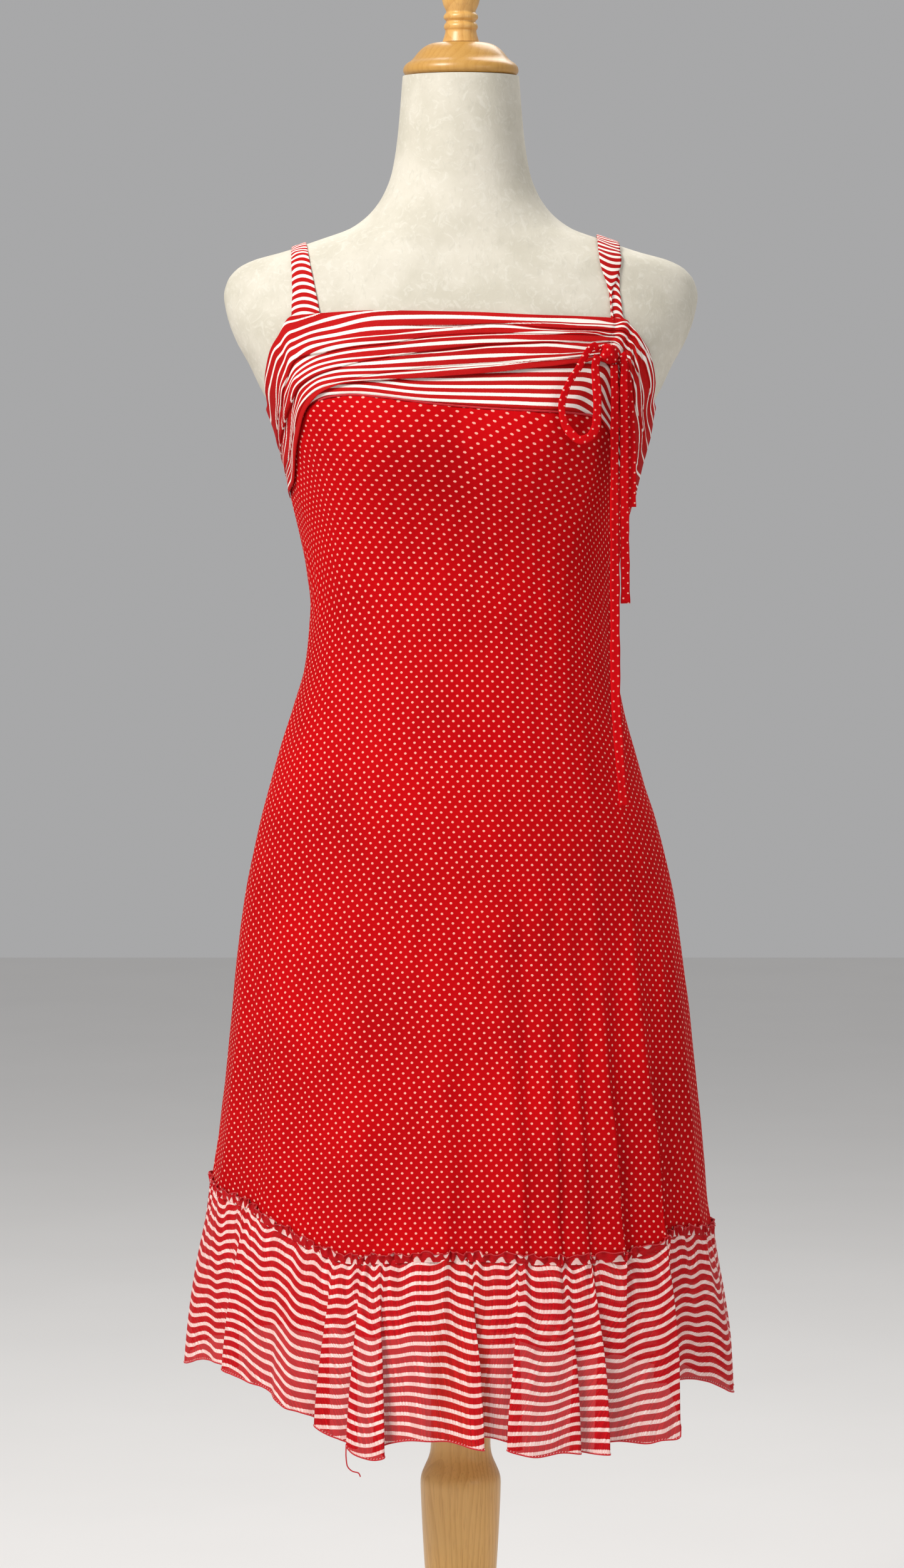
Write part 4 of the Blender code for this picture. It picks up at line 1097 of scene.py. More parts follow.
PRINT = np.array((
    # height, stretch across, tilt of the dot rows in the middle, and how much it grows per metre to the right
    (0.60, 1.00, -1.0, 60.0), (0.76, 1.00, -3.5, 65.0), (0.89, 1.00, -2.8, 70.0), (0.99, 1.00, -1.0, 90.0),
    (1.065, 1.03, 2.0, 110.0), (1.14, 1.12, 5.0, 80.0), (1.225, 1.42, 5.0, 60.0), (1.255, 1.42, 5.0, 60.0),
))
COLUMN_LEAN = 0.09


def stretched_place(points, middle):
    """The place on the cloth, with the bust's stretch and the tilt of its rows taken out."""
    cloth = place_on_cloth(points, middle)
    height = points[..., 2]
    along = cloth[..., 1]
    waist = np.array([np.interp(-WAIST_HEIGHT, -height[:, n], along[:, n]) for n in range(points.shape[1])])
    along = along - waist[None, :]
    across = cloth[..., 0]
    if points[0, middle, 1] > 0:
        return np.stack([across, along + 1.0], axis=-1)
    ratio, tilt, growth = (smooth(PRINT[:, 0], PRINT[:, n], height) for n in (1, 2, 3))
    dip = np.radians(tilt * across + 0.5 * growth * across ** 2)
    return np.stack([across / ratio - COLUMN_LEAN * along, along - dip + 1.0], axis=-1)


def make_panel(name, node_name, top_edge, degrees, row_count, top_gap):
    """A panel of dotted jersey between its top edge and the ruffle's seam, with its flutes and puckers."""
    share = np.linspace(0.0, 1.0, row_count)[:, None] ** 1.05
    top = edge_height(top_edge, degrees) - top_gap
    low = edge_height(RUFFLE_SEAM, degrees) + SEAM_GAP
    height = top + (low - top) * share
    angle = np.broadcast_to(degrees, height.shape)
    out, turn = hang_of_skirt(angle, height)
    out = out + pucker(angle, height - low, *SEAM_PUCKER) + pucker(angle, top - height, 0.010, 0.0002)
    points = lifted(DRESS, angle + turn * away_from_sides(angle), height, out)
    cloth = stretched_place(points, len(degrees) // 2)
    piece = make_cloth(name, points, cloth, dotted_jersey, JERSEY_WALL)
    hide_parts(node_name)
    steps = np.linalg.norm(np.diff(points, axis=1), axis=-1).sum(axis=1)
    print(name, "is", np.round(steps[[0, row_count // 3, -1]] * 1000).tolist(), "mm wide at top, waist and seam")
    return piece, points


front_degrees = np.linspace(-89.9, 89.9, 241)
back_degrees = np.linspace(90.1, 269.9, 181)
dress_front, front_points = make_panel("dress_front_cloth", "dress_front", ARCH_EDGE, front_degrees, 170, ARCH_GAP)
dress_back, back_points = make_panel("dress_back_cloth", "dress_back", BACK_BAND_EDGE, back_degrees, 130, SEAM_GAP)

# %% [markdown]
# ## The yoke
# Two layers of striped jersey: a flat one, of which a strip shows above the dots, and an overlay of twelve stripes
# that is laid in folds. Each fold rises, rolls over its own lower edge and tucks back under, so a white stripe is
# hidden in every fold. The folds open out towards the viewer's left and fan round the bust to the side seam.

# %% Ribs of the yoke
RIBS = np.array((
    # place across, angle on the neck edge, angle on the lower edge
    (0.00, -89.9, -89.9), (0.14, -62.0, -74.0), (0.28, -43.0, -50.0), (0.38, -30.0, -36.0), (0.52, -4.0, -6.0),
    (0.66, 20.0, 20.0), (0.78, 40.0, 39.5), (0.88, 60.0, 62.0), (1.00, 89.9, 89.9),
))


def on_rib(low_edge, place, share):
    """Angle and height on the yoke, at a place across it and a share of the way down each rib."""
    top_angle = smooth(RIBS[:, 0], RIBS[:, 1], place)
    low_angle = smooth(RIBS[:, 0], RIBS[:, 2], place)
    top = edge_height(NECK_EDGE, top_angle)
    low = edge_height(low_edge, low_angle)
    return top_angle + (low_angle - top_angle) * share, top + (low - top) * share


# %% Flat layer of the yoke
BAND_STRIPES = np.array((
    # angle, height of the lowest white stripe's middle, height of the fifth one's
    (-90.0, 1.1705, 1.1925), (-76.0, 1.1855, 1.2075), (-64.0, 1.2165, 1.2385), (-56.0, 1.2352, 1.2572),
    (-45.0, 1.2505, 1.2725), (-39.0, 1.2540, 1.2760), (-30.3, 1.2547, 1.2764), (-8.4, 1.2490, 1.2706),
    (18.8, 1.2459, 1.2725), (33.1, 1.2441, 1.2728), (39.5, 1.2380, 1.2697), (46.9, 1.2250, 1.2520),
    (60.0, 1.1950, 1.2200), (90.0, 1.1700, 1.1960),
))
STEPS_TO_FIFTH = 4.0

band_place = np.linspace(0.0, 1.0, 200)
band_angle, band_height = on_rib(ARCH_EDGE, band_place, np.linspace(0.0, 1.0, 28)[:, None])
band_out = pucker(band_angle, band_height - edge_height(ARCH_EDGE, band_angle), 0.006, 0.0002)
band_points = lifted(DRESS, band_angle, band_height, band_out)
first_white = smooth(BAND_STRIPES[:, 0], BAND_STRIPES[:, 1], band_angle)
fifth_white = smooth(BAND_STRIPES[:, 0], BAND_STRIPES[:, 2], band_angle)
band_along = (STEPS_TO_FIFTH * (band_height - first_white) / (fifth_white - first_white)) * STRIPE_STEP
band_cloth = place_on_cloth(band_points)
band_cloth[..., 1] = band_along
yoke_band = make_cloth("bust_band_cloth", band_points, band_cloth, striped_jersey, JERSEY_WALL)
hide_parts("bust_band")
print("flat layer:", len(yoke_band.data.polygons), "faces")

# %% Chart of the overlay's stripes
CHART_PLACES = (0.05, 0.09, 0.14, 0.19, 0.24, 0.28, 0.33, 0.38, 0.45, 0.52, 0.59, 0.66, 0.71, 0.74, 0.77, 0.80, 0.83,
                0.86, 0.89, 0.93, 0.97)
WHITE_MIDDLES = 0.001 * np.array((
    # how far down the ribs each white stripe's middle lies, in thousandths; outside 0 to 1000 it doesn't show
    (-60, -60, -5, -27, -7, 52, 23, -60, -80, -80, -80, -80, -80, -80, -80, -120, -120, -120, -120, -120, -120),
    (-20, 0, 40, 47, 101, 147, 119, 70, 5, -30, -40, -40, -40, -40, -30, -60, -60, -60, -60, -50, -40),
    (140, 98, 136, 128, 178, 230, 207, 189, 103, 96, 103, 97, 109, 119, 149, 16, 11, 15, -20, 10, 40),
    (545, 431, 290, 227, 243, 300, 286, 289, 249, 254, 201, 170, 200, 207, 220, 130, 73, 35, 30, 90, 150),
    (620, 500, 348, 323, 334, 387, 370, 370, 361, 304, 238, 289, 318, 319, 376, 273, 170, 92, 98, 240, 300),
    (680, 560, 386, 368, 419, 460, 456, 449, 455, 424, 387, 350, 350, 375, 436, 396, 263, 249, 246, 383, 430),
    (740, 630, 564, 431, 476, 517, 516, 525, 535, 525, 507, 509, 545, 570, 552, 525, 333, 265, 278, 535, 570),
    (790, 700, 640, 520, 512, 571, 581, 603, 649, 650, 594, 578, 646, 700, 623, 546, 450, 375, 418, 730, 740),
    (830, 770, 760, 705, 595, 625, 643, 667, 728, 750, 750, 759, 782, 781, 716, 652, 573, 508, 767, 850, 860),
    (870, 820, 810, 735, 650, 677, 698, 728, 824, 879, 888, 855, 855, 850, 820, 760, 720, 700, 850, 900, 910),
    (900, 870, 860, 760, 714, 735, 752, 799, 895, 930, 924, 881, 888, 895, 880, 820, 800, 800, 900, 940, 950),
    (950, 940, 930, 801, 751, 788, 818, 864, 960, 1050, 1050, 1020, 1020, 1020, 960, 930, 920, 920, 960, 980, 980),
))
WHITE_SHOWING = 0.001 * np.array((
    # how much of each one shows, in thousandths of the rib; the rest is folded under
    (10, 10, 10, 14, 21, 19, 10, 8, 8, 8, 8, 8, 8, 8, 8, 8, 8, 8, 8, 8, 8),
    (14, 14, 17, 20, 26, 27, 34, 49, 13, 13, 13, 13, 13, 13, 13, 10, 10, 10, 10, 10, 10),
    (36, 36, 24, 22, 26, 28, 33, 45, 65, 74, 68, 79, 106, 91, 40, 26, 14, 13, 12, 20, 20),
    (34, 33, 20, 22, 25, 29, 37, 48, 58, 34, 7, 10, 28, 37, 53, 61, 43, 31, 16, 30, 30),
    (10, 10, 7, 16, 37, 40, 46, 33, 12, 49, 61, 14, 7, 8, 27, 36, 41, 41, 24, 32, 32),
    (10, 10, 10, 16, 27, 36, 40, 54, 30, 13, 13, 61, 8, 9, 27, 39, 26, 15, 12, 19, 25),
    (8, 8, 8, 12, 17, 23, 29, 31, 39, 73, 72, 16, 25, 32, 32, 34, 18, 10, 16, 11, 20),
    (14, 14, 15, 9, 17, 27, 31, 30, 19, 16, 25, 64, 65, 70, 50, 30, 15, 28, 34, 22, 25),
    (6, 6, 6, 5, 13, 20, 27, 33, 51, 72, 73, 24, 8, 9, 14, 18, 24, 24, 14, 14, 20),
    (6, 6, 6, 7, 14, 19, 27, 33, 36, 38, 50, 48, 42, 42, 20, 10, 10, 10, 10, 12, 12),
    (6, 6, 8, 9, 14, 18, 27, 31, 31, 31, 26, 11, 8, 9, 8, 8, 10, 10, 10, 10, 10),
    (16, 16, 18, 23, 15, 21, 26, 18, 8, 8, 8, 8, 8, 8, 8, 8, 10, 12, 14, 14, 14),
))
HALF_SHOWN = 0.45


def overlay_stripes(place, share):
    """The length along the cloth at each place and share, so that every white shows where the chart has it."""
    middles = np.stack([smooth(CHART_PLACES, row, place) for row in WHITE_MIDDLES], axis=-1)
    half = HALF_SHOWN * np.stack([smooth(CHART_PLACES, row, place) for row in WHITE_SHOWING], axis=-1)
    edges = np.stack([middles - half, middles + half], axis=-1).reshape(len(place), -1)
    edges = np.maximum.accumulate(edges, axis=1) + np.arange(edges.shape[1]) * 1e-4
    white = np.arange(len(WHITE_MIDDLES))[:, None] + np.array((-0.5, 0.5)) * WHITE_SHARE
    white = np.concatenate([[-0.5], white.ravel(), [len(WHITE_MIDDLES) - 0.5]])
    along = [np.interp(column, np.concatenate([[row[0] - 0.03], row, [row[-1] + 0.03]]), white)
             for column, row in zip(share.T, edges)]
    return np.stack(along, axis=-1) * STRIPE_STEP


print("whites on the overlay:", len(WHITE_MIDDLES), "at", len(CHART_PLACES), "places across")

# %% Folded overlay
FOLD_PLACES = (0.00, 0.14, 0.28, 0.38, 0.45, 0.52, 0.60, 0.66, 0.775, 0.82, 0.88, 1.00)
FOLD_LINES = (
    # share of the way down at each of the places, then how full the fold is at each of them
    ((0.20, 0.20, 0.20, 0.21, 0.22, 0.225, 0.175, 0.23, 0.27, 0.13, 0.12, 0.22),
     (0.0, 0.0, 0.0, 0.0, 0.1, 0.8, 1.0, 1.0, 0.9, 0.8, 0.4, 0.1)),
    ((0.45, 0.38, 0.40, 0.47, 0.47, 0.375, 0.345, 0.36, 0.40, 0.28, 0.26, 0.38),
     (0.3, 0.6, 0.9, 0.8, 0.8, 0.9, 1.0, 0.8, 0.8, 1.0, 0.5, 0.1)),
    ((0.62, 0.52, 0.64, 0.68, 0.655, 0.60, 0.53, 0.52, 0.55, 0.45, 0.40, 0.56),
     (0.4, 0.8, 1.0, 1.0, 1.0, 1.0, 1.0, 1.0, 1.0, 0.9, 0.5, 0.1)),
    ((0.80, 0.76, 0.80, 0.86, 0.88, 0.87, 0.87, 0.90, 0.86, 0.70, 0.68, 0.78),
     (0.2, 0.4, 0.5, 0.3, 0.3, 0.5, 0.5, 0.4, 0.5, 0.8, 0.4, 0.1)),
    ((1.02, 0.98, 0.875, 0.895, 0.96, 1.02, 1.03, 1.00, 1.00, 1.00, 1.00, 1.02),
     (0.2, 0.5, 0.9, 1.0, 1.0, 1.0, 1.0, 1.0, 1.0, 0.9, 0.5, 0.2)),
)
FOLD_HIGH = 0.0032
FOLD_OVERHANG = 0.0024
OVERLAY_REST = 0.0022
OVERLAY_WALL = 0.0008
ROOM_FOR_A_FOLD = 0.014
ROWS_IN_A_FOLD = 30
GATHER_PLACE = 0.806
CASING_PLACE = 0.777


def fold_profile(turn):
    """Across one fold, from 0 to 1: how far past its lower line the cloth hangs, and how far it stands out."""
    past = smooth((0.0, 0.60, 0.80, 0.90, 0.96, 1.0), (0.0, 0.02, 0.42, 1.0, 0.80, 0.0), turn)
    out = smooth((0.0, 0.15, 0.50, 0.78, 0.90, 0.96, 1.0), (0.0, 0.15, 0.45, 1.0, 0.92, 0.38, 0.0), turn)
    return past, out


def rib_lengths(place):
    """The straight length of each rib of the overlay."""
    top = lifted(DRESS, *on_rib(FOLDED_EDGE, place, 0.0), 0.0)
    low = lifted(DRESS, *on_rib(FOLDED_EDGE, place, 1.0), 0.0)
    return np.linalg.norm(top - low, axis=-1)


def make_overlay(column_count):
    """The overlay's points and its map: the folds, then the gather with its ruching and its casing."""
    even = np.linspace(0.0, 1.0, 1001)
    crowd = np.cumsum(1.0 + 2.4 * np.exp(-(((even - 0.81) / 0.045) ** 2)))
    place = np.interp(np.linspace(crowd[0], crowd[-1], column_count), crowd, even)
    lines = [smooth(FOLD_PLACES, line, place) for line, _ in FOLD_LINES]
    fullness = [smooth(FOLD_PLACES, full, place) for _, full in FOLD_LINES]
    lengths = rib_lengths(place)
    shares = []
    outs = []
    above = np.zeros(column_count)
    for number, (line, full) in enumerate(zip(lines, fullness)):
        turn = np.linspace(0.0, 1.0, ROWS_IN_A_FOLD + 1)[(0 if number == 0 else 1):, None]
        turn = turn + 0.055 * np.sin(np.pi * turn)
        past, out = fold_profile(turn)
        room = np.clip((line - above) * lengths / ROOM_FOR_A_FOLD, 0.30, 1.0)
        shares.append(above + (line - above) * turn + past * full * room * FOLD_OVERHANG / lengths)
        swell = 0.85 + 0.25 * np.sin(place * 17.0 + number * 2.1)
        outs.append(out * full * room * swell * FOLD_HIGH)
        above = line
    share = np.concatenate(shares)
    out = np.concatenate(outs)
    # Fine ruching runs out from the gather, mostly to the right.
    crush = np.exp(-(((place - GATHER_PLACE) / 0.022) ** 2))
    fine = np.sin(share * 2 * np.pi * 11.0 + 5.0 * np.sin(place * 40.0)) * 0.0010
    fine = fine + np.sin(share * 2 * np.pi * 19.0 + place * 60.0) * 0.00045
    right = ease_in((place - 0.80) / 0.02) * (1.0 - ease_in((place - 0.83) / 0.05))
    out = out + fine * (crush + 0.6 * right)
    # Two lines of stitches press the cloth in, and the casing swells between them.
    for line_place, depth in ((CASING_PLACE, 0.0012), (GATHER_PLACE, 0.0022)):
        out = out - depth * np.exp(-(((place - line_place) / 0.0045) ** 2))
    tunnel = np.exp(-(((place - 0.5 * (CASING_PLACE + GATHER_PLACE)) / 0.010) ** 2))
    out = np.clip(out + 0.0011 * tunnel, 0.0, None)
    angle, height = on_rib(FOLDED_EDGE, place, share)
    at_seam = ease_in((np.abs(place - 0.5) - 0.39) / 0.10)
    points = lifted(DRESS, angle, height, out * (1.0 - 0.5 * at_seam) + OVERLAY_REST * (1.0 - 0.45 * at_seam))
    cloth = place_on_cloth(points)
    deep = cloth[-1, :, 1]
    print("overlay: visible", np.round(lengths[[0, column_count // 2, -1]] * 1000).tolist(), "mm, cloth",
          np.round(deep[[0, column_count // 2, -1]] * 1000).tolist(), "mm deep")
    cloth[..., 1] = overlay_stripes(place, share)
    return points, cloth


overlay_points, overlay_cloth = make_overlay(250)
overlay = make_cloth("bust_drape_cloth", overlay_points, overlay_cloth, striped_jersey, OVERLAY_WALL)
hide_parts("bust_drape")
print("overlay:", len(overlay.data.polygons), "faces")

# %% [markdown]
# ## Back of the yoke
# The back is a plain band of the same stripes between the two side seams. Nothing gathers it, so it lies flat, with
# a soft wave or two where the jersey is not pulled tight.

# %% Back band
BACK_TOP = 1.262
BACK_STRIPE_SHIFT = 0.0015
BACK_REST = 0.0004

back_band_degrees = np.linspace(90.1, 269.9, 180)
band_share = np.linspace(0.0, 1.0, 34)[:, None]
back_top = edge_height(BACK_NECK_EDGE, back_band_degrees)
back_low = edge_height(BACK_BAND_EDGE, back_band_degrees)
back_band_height = back_top + (back_low - back_top) * band_share
back_band_angle = np.broadcast_to(back_band_degrees, back_band_height.shape)
wave = 0.0005 * np.sin(back_band_angle * 0.11 + back_band_height * 60.0) * np.sin(np.pi * band_share)
wave = wave + pucker(back_band_angle, back_band_height - back_low, 0.006, 0.0003)
back_band_points = lifted(DRESS, back_band_angle, back_band_height, wave + BACK_REST)
back_band_cloth = place_on_cloth(back_band_points)
back_band_cloth[..., 1] = (BACK_TOP - back_band_height) + BACK_STRIPE_SHIFT
back_band = make_cloth("back_band_cloth", back_band_points, back_band_cloth, striped_jersey,
                       JERSEY_WALL)
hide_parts("back_band")
print("back band:", len(back_band.data.polygons), "faces")

# %% [markdown]
# ## Straps
# Each strap is a folded strip of the striped jersey. It lies on the form from the neckline, over the shoulder, to
# the back band. The left one is flat and widens to the neckline. The right one is twisted: its upper layer starts as
# a narrow edge, crosses the lower layer on a diagonal, and opens to its full width at the shoulder.

# %% Straps
LEFT_STRAP = np.array((
    # place, middle, width
    (0.0, -0.1256, 0.0236), (0.12, -0.1268, 0.0210), (0.25, -0.1280, 0.0184), (0.42, -0.1298, 0.0158),
    (0.65, -0.1317, 0.0136), (1.0, -0.1334, 0.0118), (1.4, -0.1260, 0.0140), (2.0, -0.1010, 0.0180),
))
RIGHT_UPPER = np.array((
    (0.0, 0.1220, 0.0008), (0.17, 0.1216, 0.0008), (0.25, 0.1210, 0.0042), (0.36, 0.1211, 0.0107),
    (0.52, 0.1212, 0.0180), (0.75, 0.1205, 0.0186), (1.0, 0.1205, 0.0180), (1.4, 0.1180, 0.0160),
    (2.0, 0.1010, 0.0180),
))
RIGHT_UNDER = np.array((
    (0.0, 0.1270, 0.0112), (0.08, 0.1262, 0.0100), (0.19, 0.1254, 0.0090), (0.36, 0.1240, 0.0098),
    (0.52, 0.1250, 0.0090), (1.0, 0.1215, 0.0120), (1.4, 0.1190, 0.0140), (2.0, 0.1010, 0.0170),
))
STRAPS = (
    # piece, outline, rest above the form, crown, sag and tilt of its stripes, its solid, where its stripes start
    ("strap_left_cloth", LEFT_STRAP, 0.0005, 0.0006, -0.0120, -0.0036, "strap_left", 0.0),
    ("strap_right_cloth", RIGHT_UPPER, 0.0016, 0.0005, 0.0110, 0.0, "strap_right", 0.0020),
    ("strap_right_under_cloth", RIGHT_UNDER, 0.0004, 0.0002, -0.0100, 0.0, None, 0.0045),
)
STRAP_WALL = 0.0010
STRAP_END_RISE = 0.0024
NECK_AT_STRAPS = 1.317
BACK_NECK_AT_STRAPS = 1.258
TUCKED_UNDER = 0.002


def shoulder_height(across):
    """The height of the shoulder's ridge, so far from the middle."""
    heights = np.linspace(1.336, 1.405, 200)
    half_widths = smooth(FIGURE[:, 0], FIGURE[:, 1], heights)
    return np.interp(-np.abs(across), -half_widths, heights)


def front_angle(across, height):
    """The angle on the front at which the form is so wide at this height."""
    half = smooth(FIGURE[:, 0], FIGURE[:, 1], height)
    corner = smooth(FIGURE[:, 0], FIGURE[:, 5], height)
    share = np.clip(np.abs(across) / half, 0.0, 1.0) ** (corner / 2)
    return np.degrees(np.arcsin(share)) * np.sign(across)


def strap_points(rows, rest, crown, sag, tilt):
    """A strap's outer face: 0 to 1 up the front and 1 to 2 down the back, a little fuller in its middle."""
    place = np.linspace(0.0, 2.0, 121)[:, None]
    cut = np.linspace(-0.5, 0.5, 13)[None, :]
    width = smooth(rows[:, 0], rows[:, 2], place)
    across = smooth(rows[:, 0], rows[:, 1], place) + width * cut
    ridge = shoulder_height(across)
    front_low = edge_height(NECK_EDGE, front_angle(across[0], NECK_AT_STRAPS)) - TUCKED_UNDER
    back_angle = 180.0 - np.abs(front_angle(across[-1], BACK_NECK_AT_STRAPS))
    back_low = edge_height(BACK_NECK_EDGE, back_angle) - TUCKED_UNDER
    low = np.where(place <= 1.0, front_low[None, :], back_low[None, :])
    height = low + (ridge - low) * np.sin(np.pi / 2 * place)
    degrees = front_angle(across, height)
    degrees = np.where(place <= 1.0, degrees, 180.0 * np.sign(across) - degrees)
    puff = crown * (1 - (2 * np.abs(cut)) ** 3)
    ends = np.exp(-place / 0.05) + np.exp(-(2.0 - place) / 0.05)
    ruck = 0.0004 * np.sin(place * 31.0 + cut * 5.0) * (0.5 + np.abs(cut))
    points = lifted(FIGURE, degrees, height, rest + STRAP_WALL + puff + ruck + ends * STRAP_END_RISE)
    return points, sag * cut ** 2 + tilt * cut


def make_strap(name, rows, rest, crown, sag, tilt, node_name, start):
    """A strap whose stripes run across it, with their sag and tilt, from the back band to the neckline."""
    points, dip = strap_points(rows, rest, crown, sag, tilt)
    points = points[::-1]
    cloth = place_on_cloth(points)
    middle = cloth[:, 6:7, 1]
    cloth[..., 1] = np.broadcast_to(middle, cloth.shape[:2]) + dip[::-1] + start
    piece = make_cloth(name, points, cloth, striped_jersey, STRAP_WALL)
    face_outward(piece)
    if node_name:
        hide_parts(node_name)
    print(name, "is", round(float(middle[-1, 0]) * 1000), "mm long")


for strap in STRAPS:
    make_strap(*strap)

# %% [markdown]
# ## Ruffle
# The ruffle is a long strip of chiffon, about one and a half times the skirt's width, gathered on to the seam. Seen
# from below it is a wandering line: it swells forward, doubles back behind itself, and goes on. That line is drawn
# once at the hem, as angles and distances out. At the seam the same cloth is packed evenly. In between,
# one turns into the other, so every fold runs up and dies away in the gathers.

# %% Line of the hem
FRONT_HEM = np.array((
    # angle, distance out and depth of the strip in mm; where the angle goes back, the cloth lies behind itself
    (-89.9, 1.0, 147), (-84.0, 5.0, 146), (-77.0, 0.0, 142), (-70.0, -5.0, 138), (-62.0, -7.0, 135),
    (-55.5, -7.5, 135), (-56.5, -3.0, 138), (-58.8, 1.5, 140), (-56.0, 3.5, 141), (-50.0, 1.5, 136),
    (-45.0, -1.5, 131), (-42.0, 0.5, 131), (-39.5, 6.0, 133), (-36.5, 9.0, 134), (-33.5, 5.0, 132),
    (-30.0, 1.0, 130), (-26.8, -1.0, 136), (-27.8, 2.0, 135), (-29.8, 5.0, 132), (-28.0, 6.5, 137),
    (-24.5, 4.5, 144), (-20.4, 1.5, 152), (-20.9, 4.5, 153), (-22.4, 7.0, 150), (-20.5, 9.0, 156), (-17.0, 9.0, 159),
    (-14.3, 9.6, 157), (-15.0, 5.0, 155), (-17.0, 1.0, 155), (-15.0, -2.5, 152), (-11.5, 0.0, 149), (-8.0, 3.5, 147),
    (-5.5, 3.0, 146), (-2.5, -1.0, 144), (-0.3, 1.0, 145), (1.8, 6.5, 147), (4.1, 9.6, 149), (3.0, 5.0, 146),
    (1.2, 0.5, 144), (3.5, -3.5, 143), (7.5, -4.0, 145), (11.5, -2.0, 150), (10.3, 2.0, 150), (8.3, 5.0, 149),
    (10.5, 8.0, 153), (14.5, 8.5, 158), (19.0, 6.0, 157), (23.4, 6.5, 157), (22.6, 2.0, 155), (21.5, -1.0, 154),
    (24.0, -2.0, 153), (27.0, 4.0, 154), (29.8, 9.6, 155), (28.8, 4.0, 153), (27.0, 0.0, 153), (29.5, -4.0, 149),
    (34.0, -3.0, 146), (38.0, 0.5, 146), (43.0, 5.0, 150), (48.3, 9.6, 154), (46.5, 3.5, 114), (43.5, -2.5, 112),
    (46.0, -7.0, 114), (51.0, -7.0, 117), (56.0, -8.5, 122), (62.0, -6.0, 126), (68.0, 1.0, 127), (74.0, 6.0, 129),
    (79.0, 3.0, 130), (84.0, -1.0, 131), (89.9, 1.0, 132),
))
BACK_HEM = np.array((
    (90.1, 1.0, 123), (95.0, -3.0, 124), (100.0, 4.0, 132), (104.5, 8.5, 142), (103.0, 3.0, 139), (101.0, -2.0, 136),
    (105.0, -5.0, 134), (111.0, -1.0, 137), (115.0, 6.0, 141), (119.0, 8.5, 143), (124.0, 2.0, 140),
    (127.5, -4.0, 137), (130.5, -3.0, 137), (129.0, 2.0, 140), (127.0, 6.0, 143), (130.0, 8.5, 144),
    (134.0, 7.0, 144), (139.0, 0.0, 140), (143.0, -5.0, 137), (147.0, 3.0, 142), (150.0, 9.5, 146),
    (148.5, 3.5, 143), (146.5, -1.0, 140), (150.0, -4.5, 138), (155.0, 0.0, 141), (159.0, 6.0, 144),
    (163.5, 8.0, 145), (167.0, 2.0, 142), (170.5, -4.0, 138), (173.0, -2.0, 139), (171.5, 3.0, 142),
    (169.5, 6.5, 144), (173.0, 9.0, 146), (177.0, 6.0, 143), (181.0, 0.0, 140), (185.0, 5.0, 142), (188.5, 9.5, 144),
    (187.0, 4.0, 141), (185.0, -0.5, 139), (189.0, -5.0, 136), (194.0, 0.0, 138), (198.0, 7.0, 142),
    (202.0, 8.0, 142), (206.0, 1.0, 138), (209.0, -4.0, 135), (211.5, -2.0, 136), (210.0, 3.0, 139),
    (208.5, 6.5, 141), (212.0, 8.5, 142), (217.0, 5.0, 140), (221.0, -1.0, 136), (225.0, 4.0, 139),
    (229.0, 9.5, 143), (227.5, 4.0, 139), (225.5, -1.0, 136), (229.0, -5.5, 134), (235.0, -1.0, 137),
    (240.0, 6.0, 141), (245.0, 7.0, 142), (250.0, 0.0, 139), (254.0, -5.0, 136), (259.0, 2.0, 142),
    (264.0, 6.0, 146), (269.9, 1.0, 147),
))
MM_IN_A_DEGREE = 3.8


def curve_through(points, count):
    """A smooth line through points in the plane, evenly spaced along its own length."""
    padded = np.concatenate([[2 * points[0] - points[1]], points, [2 * points[-1] - points[-2]]])
    t = np.linspace(0.0, 1.0, 24, endpoint=False)[:, None]
    parts = []
    for a, b, c, d in zip(padded, padded[1:], padded[2:], padded[3:]):
        parts.append(0.5 * (2 * b + (c - a) * t + (2 * a - 5 * b + 4 * c - d) * t ** 2
                            + (3 * b - a - 3 * c + d) * t ** 3))
    line = np.concatenate(parts + [points[-1:]])
    real = line[:, :2] * np.array((MM_IN_A_DEGREE, 1.0))
    lengths = np.concatenate([[0.0], np.cumsum(np.linalg.norm(np.diff(real, axis=0), axis=1))])
    at = np.linspace(0.0, lengths[-1], count)
    return np.stack([np.interp(at, lengths, column) for column in line.T], axis=-1)


def even_angles(angle, window):
    """The angles at the seam: the same cloth without its doublings, always moving on."""
    kernel = np.hanning(window)
    kernel /= kernel.sum()
    half = window // 2
    ends = np.concatenate([2 * angle[0] - angle[half:0:-1], angle, 2 * angle[-1] - angle[-2:-half - 2:-1]])
    calm = np.convolve(ends, kernel, mode="same")[half:half + len(angle)]
    calm = np.maximum.accumulate(calm)
    calm = calm + np.linspace(0.0, 1e-3, len(calm))
    return angle[0] + (calm - calm[0]) * (angle[-1] - angle[0]) / (calm[-1] - calm[0])


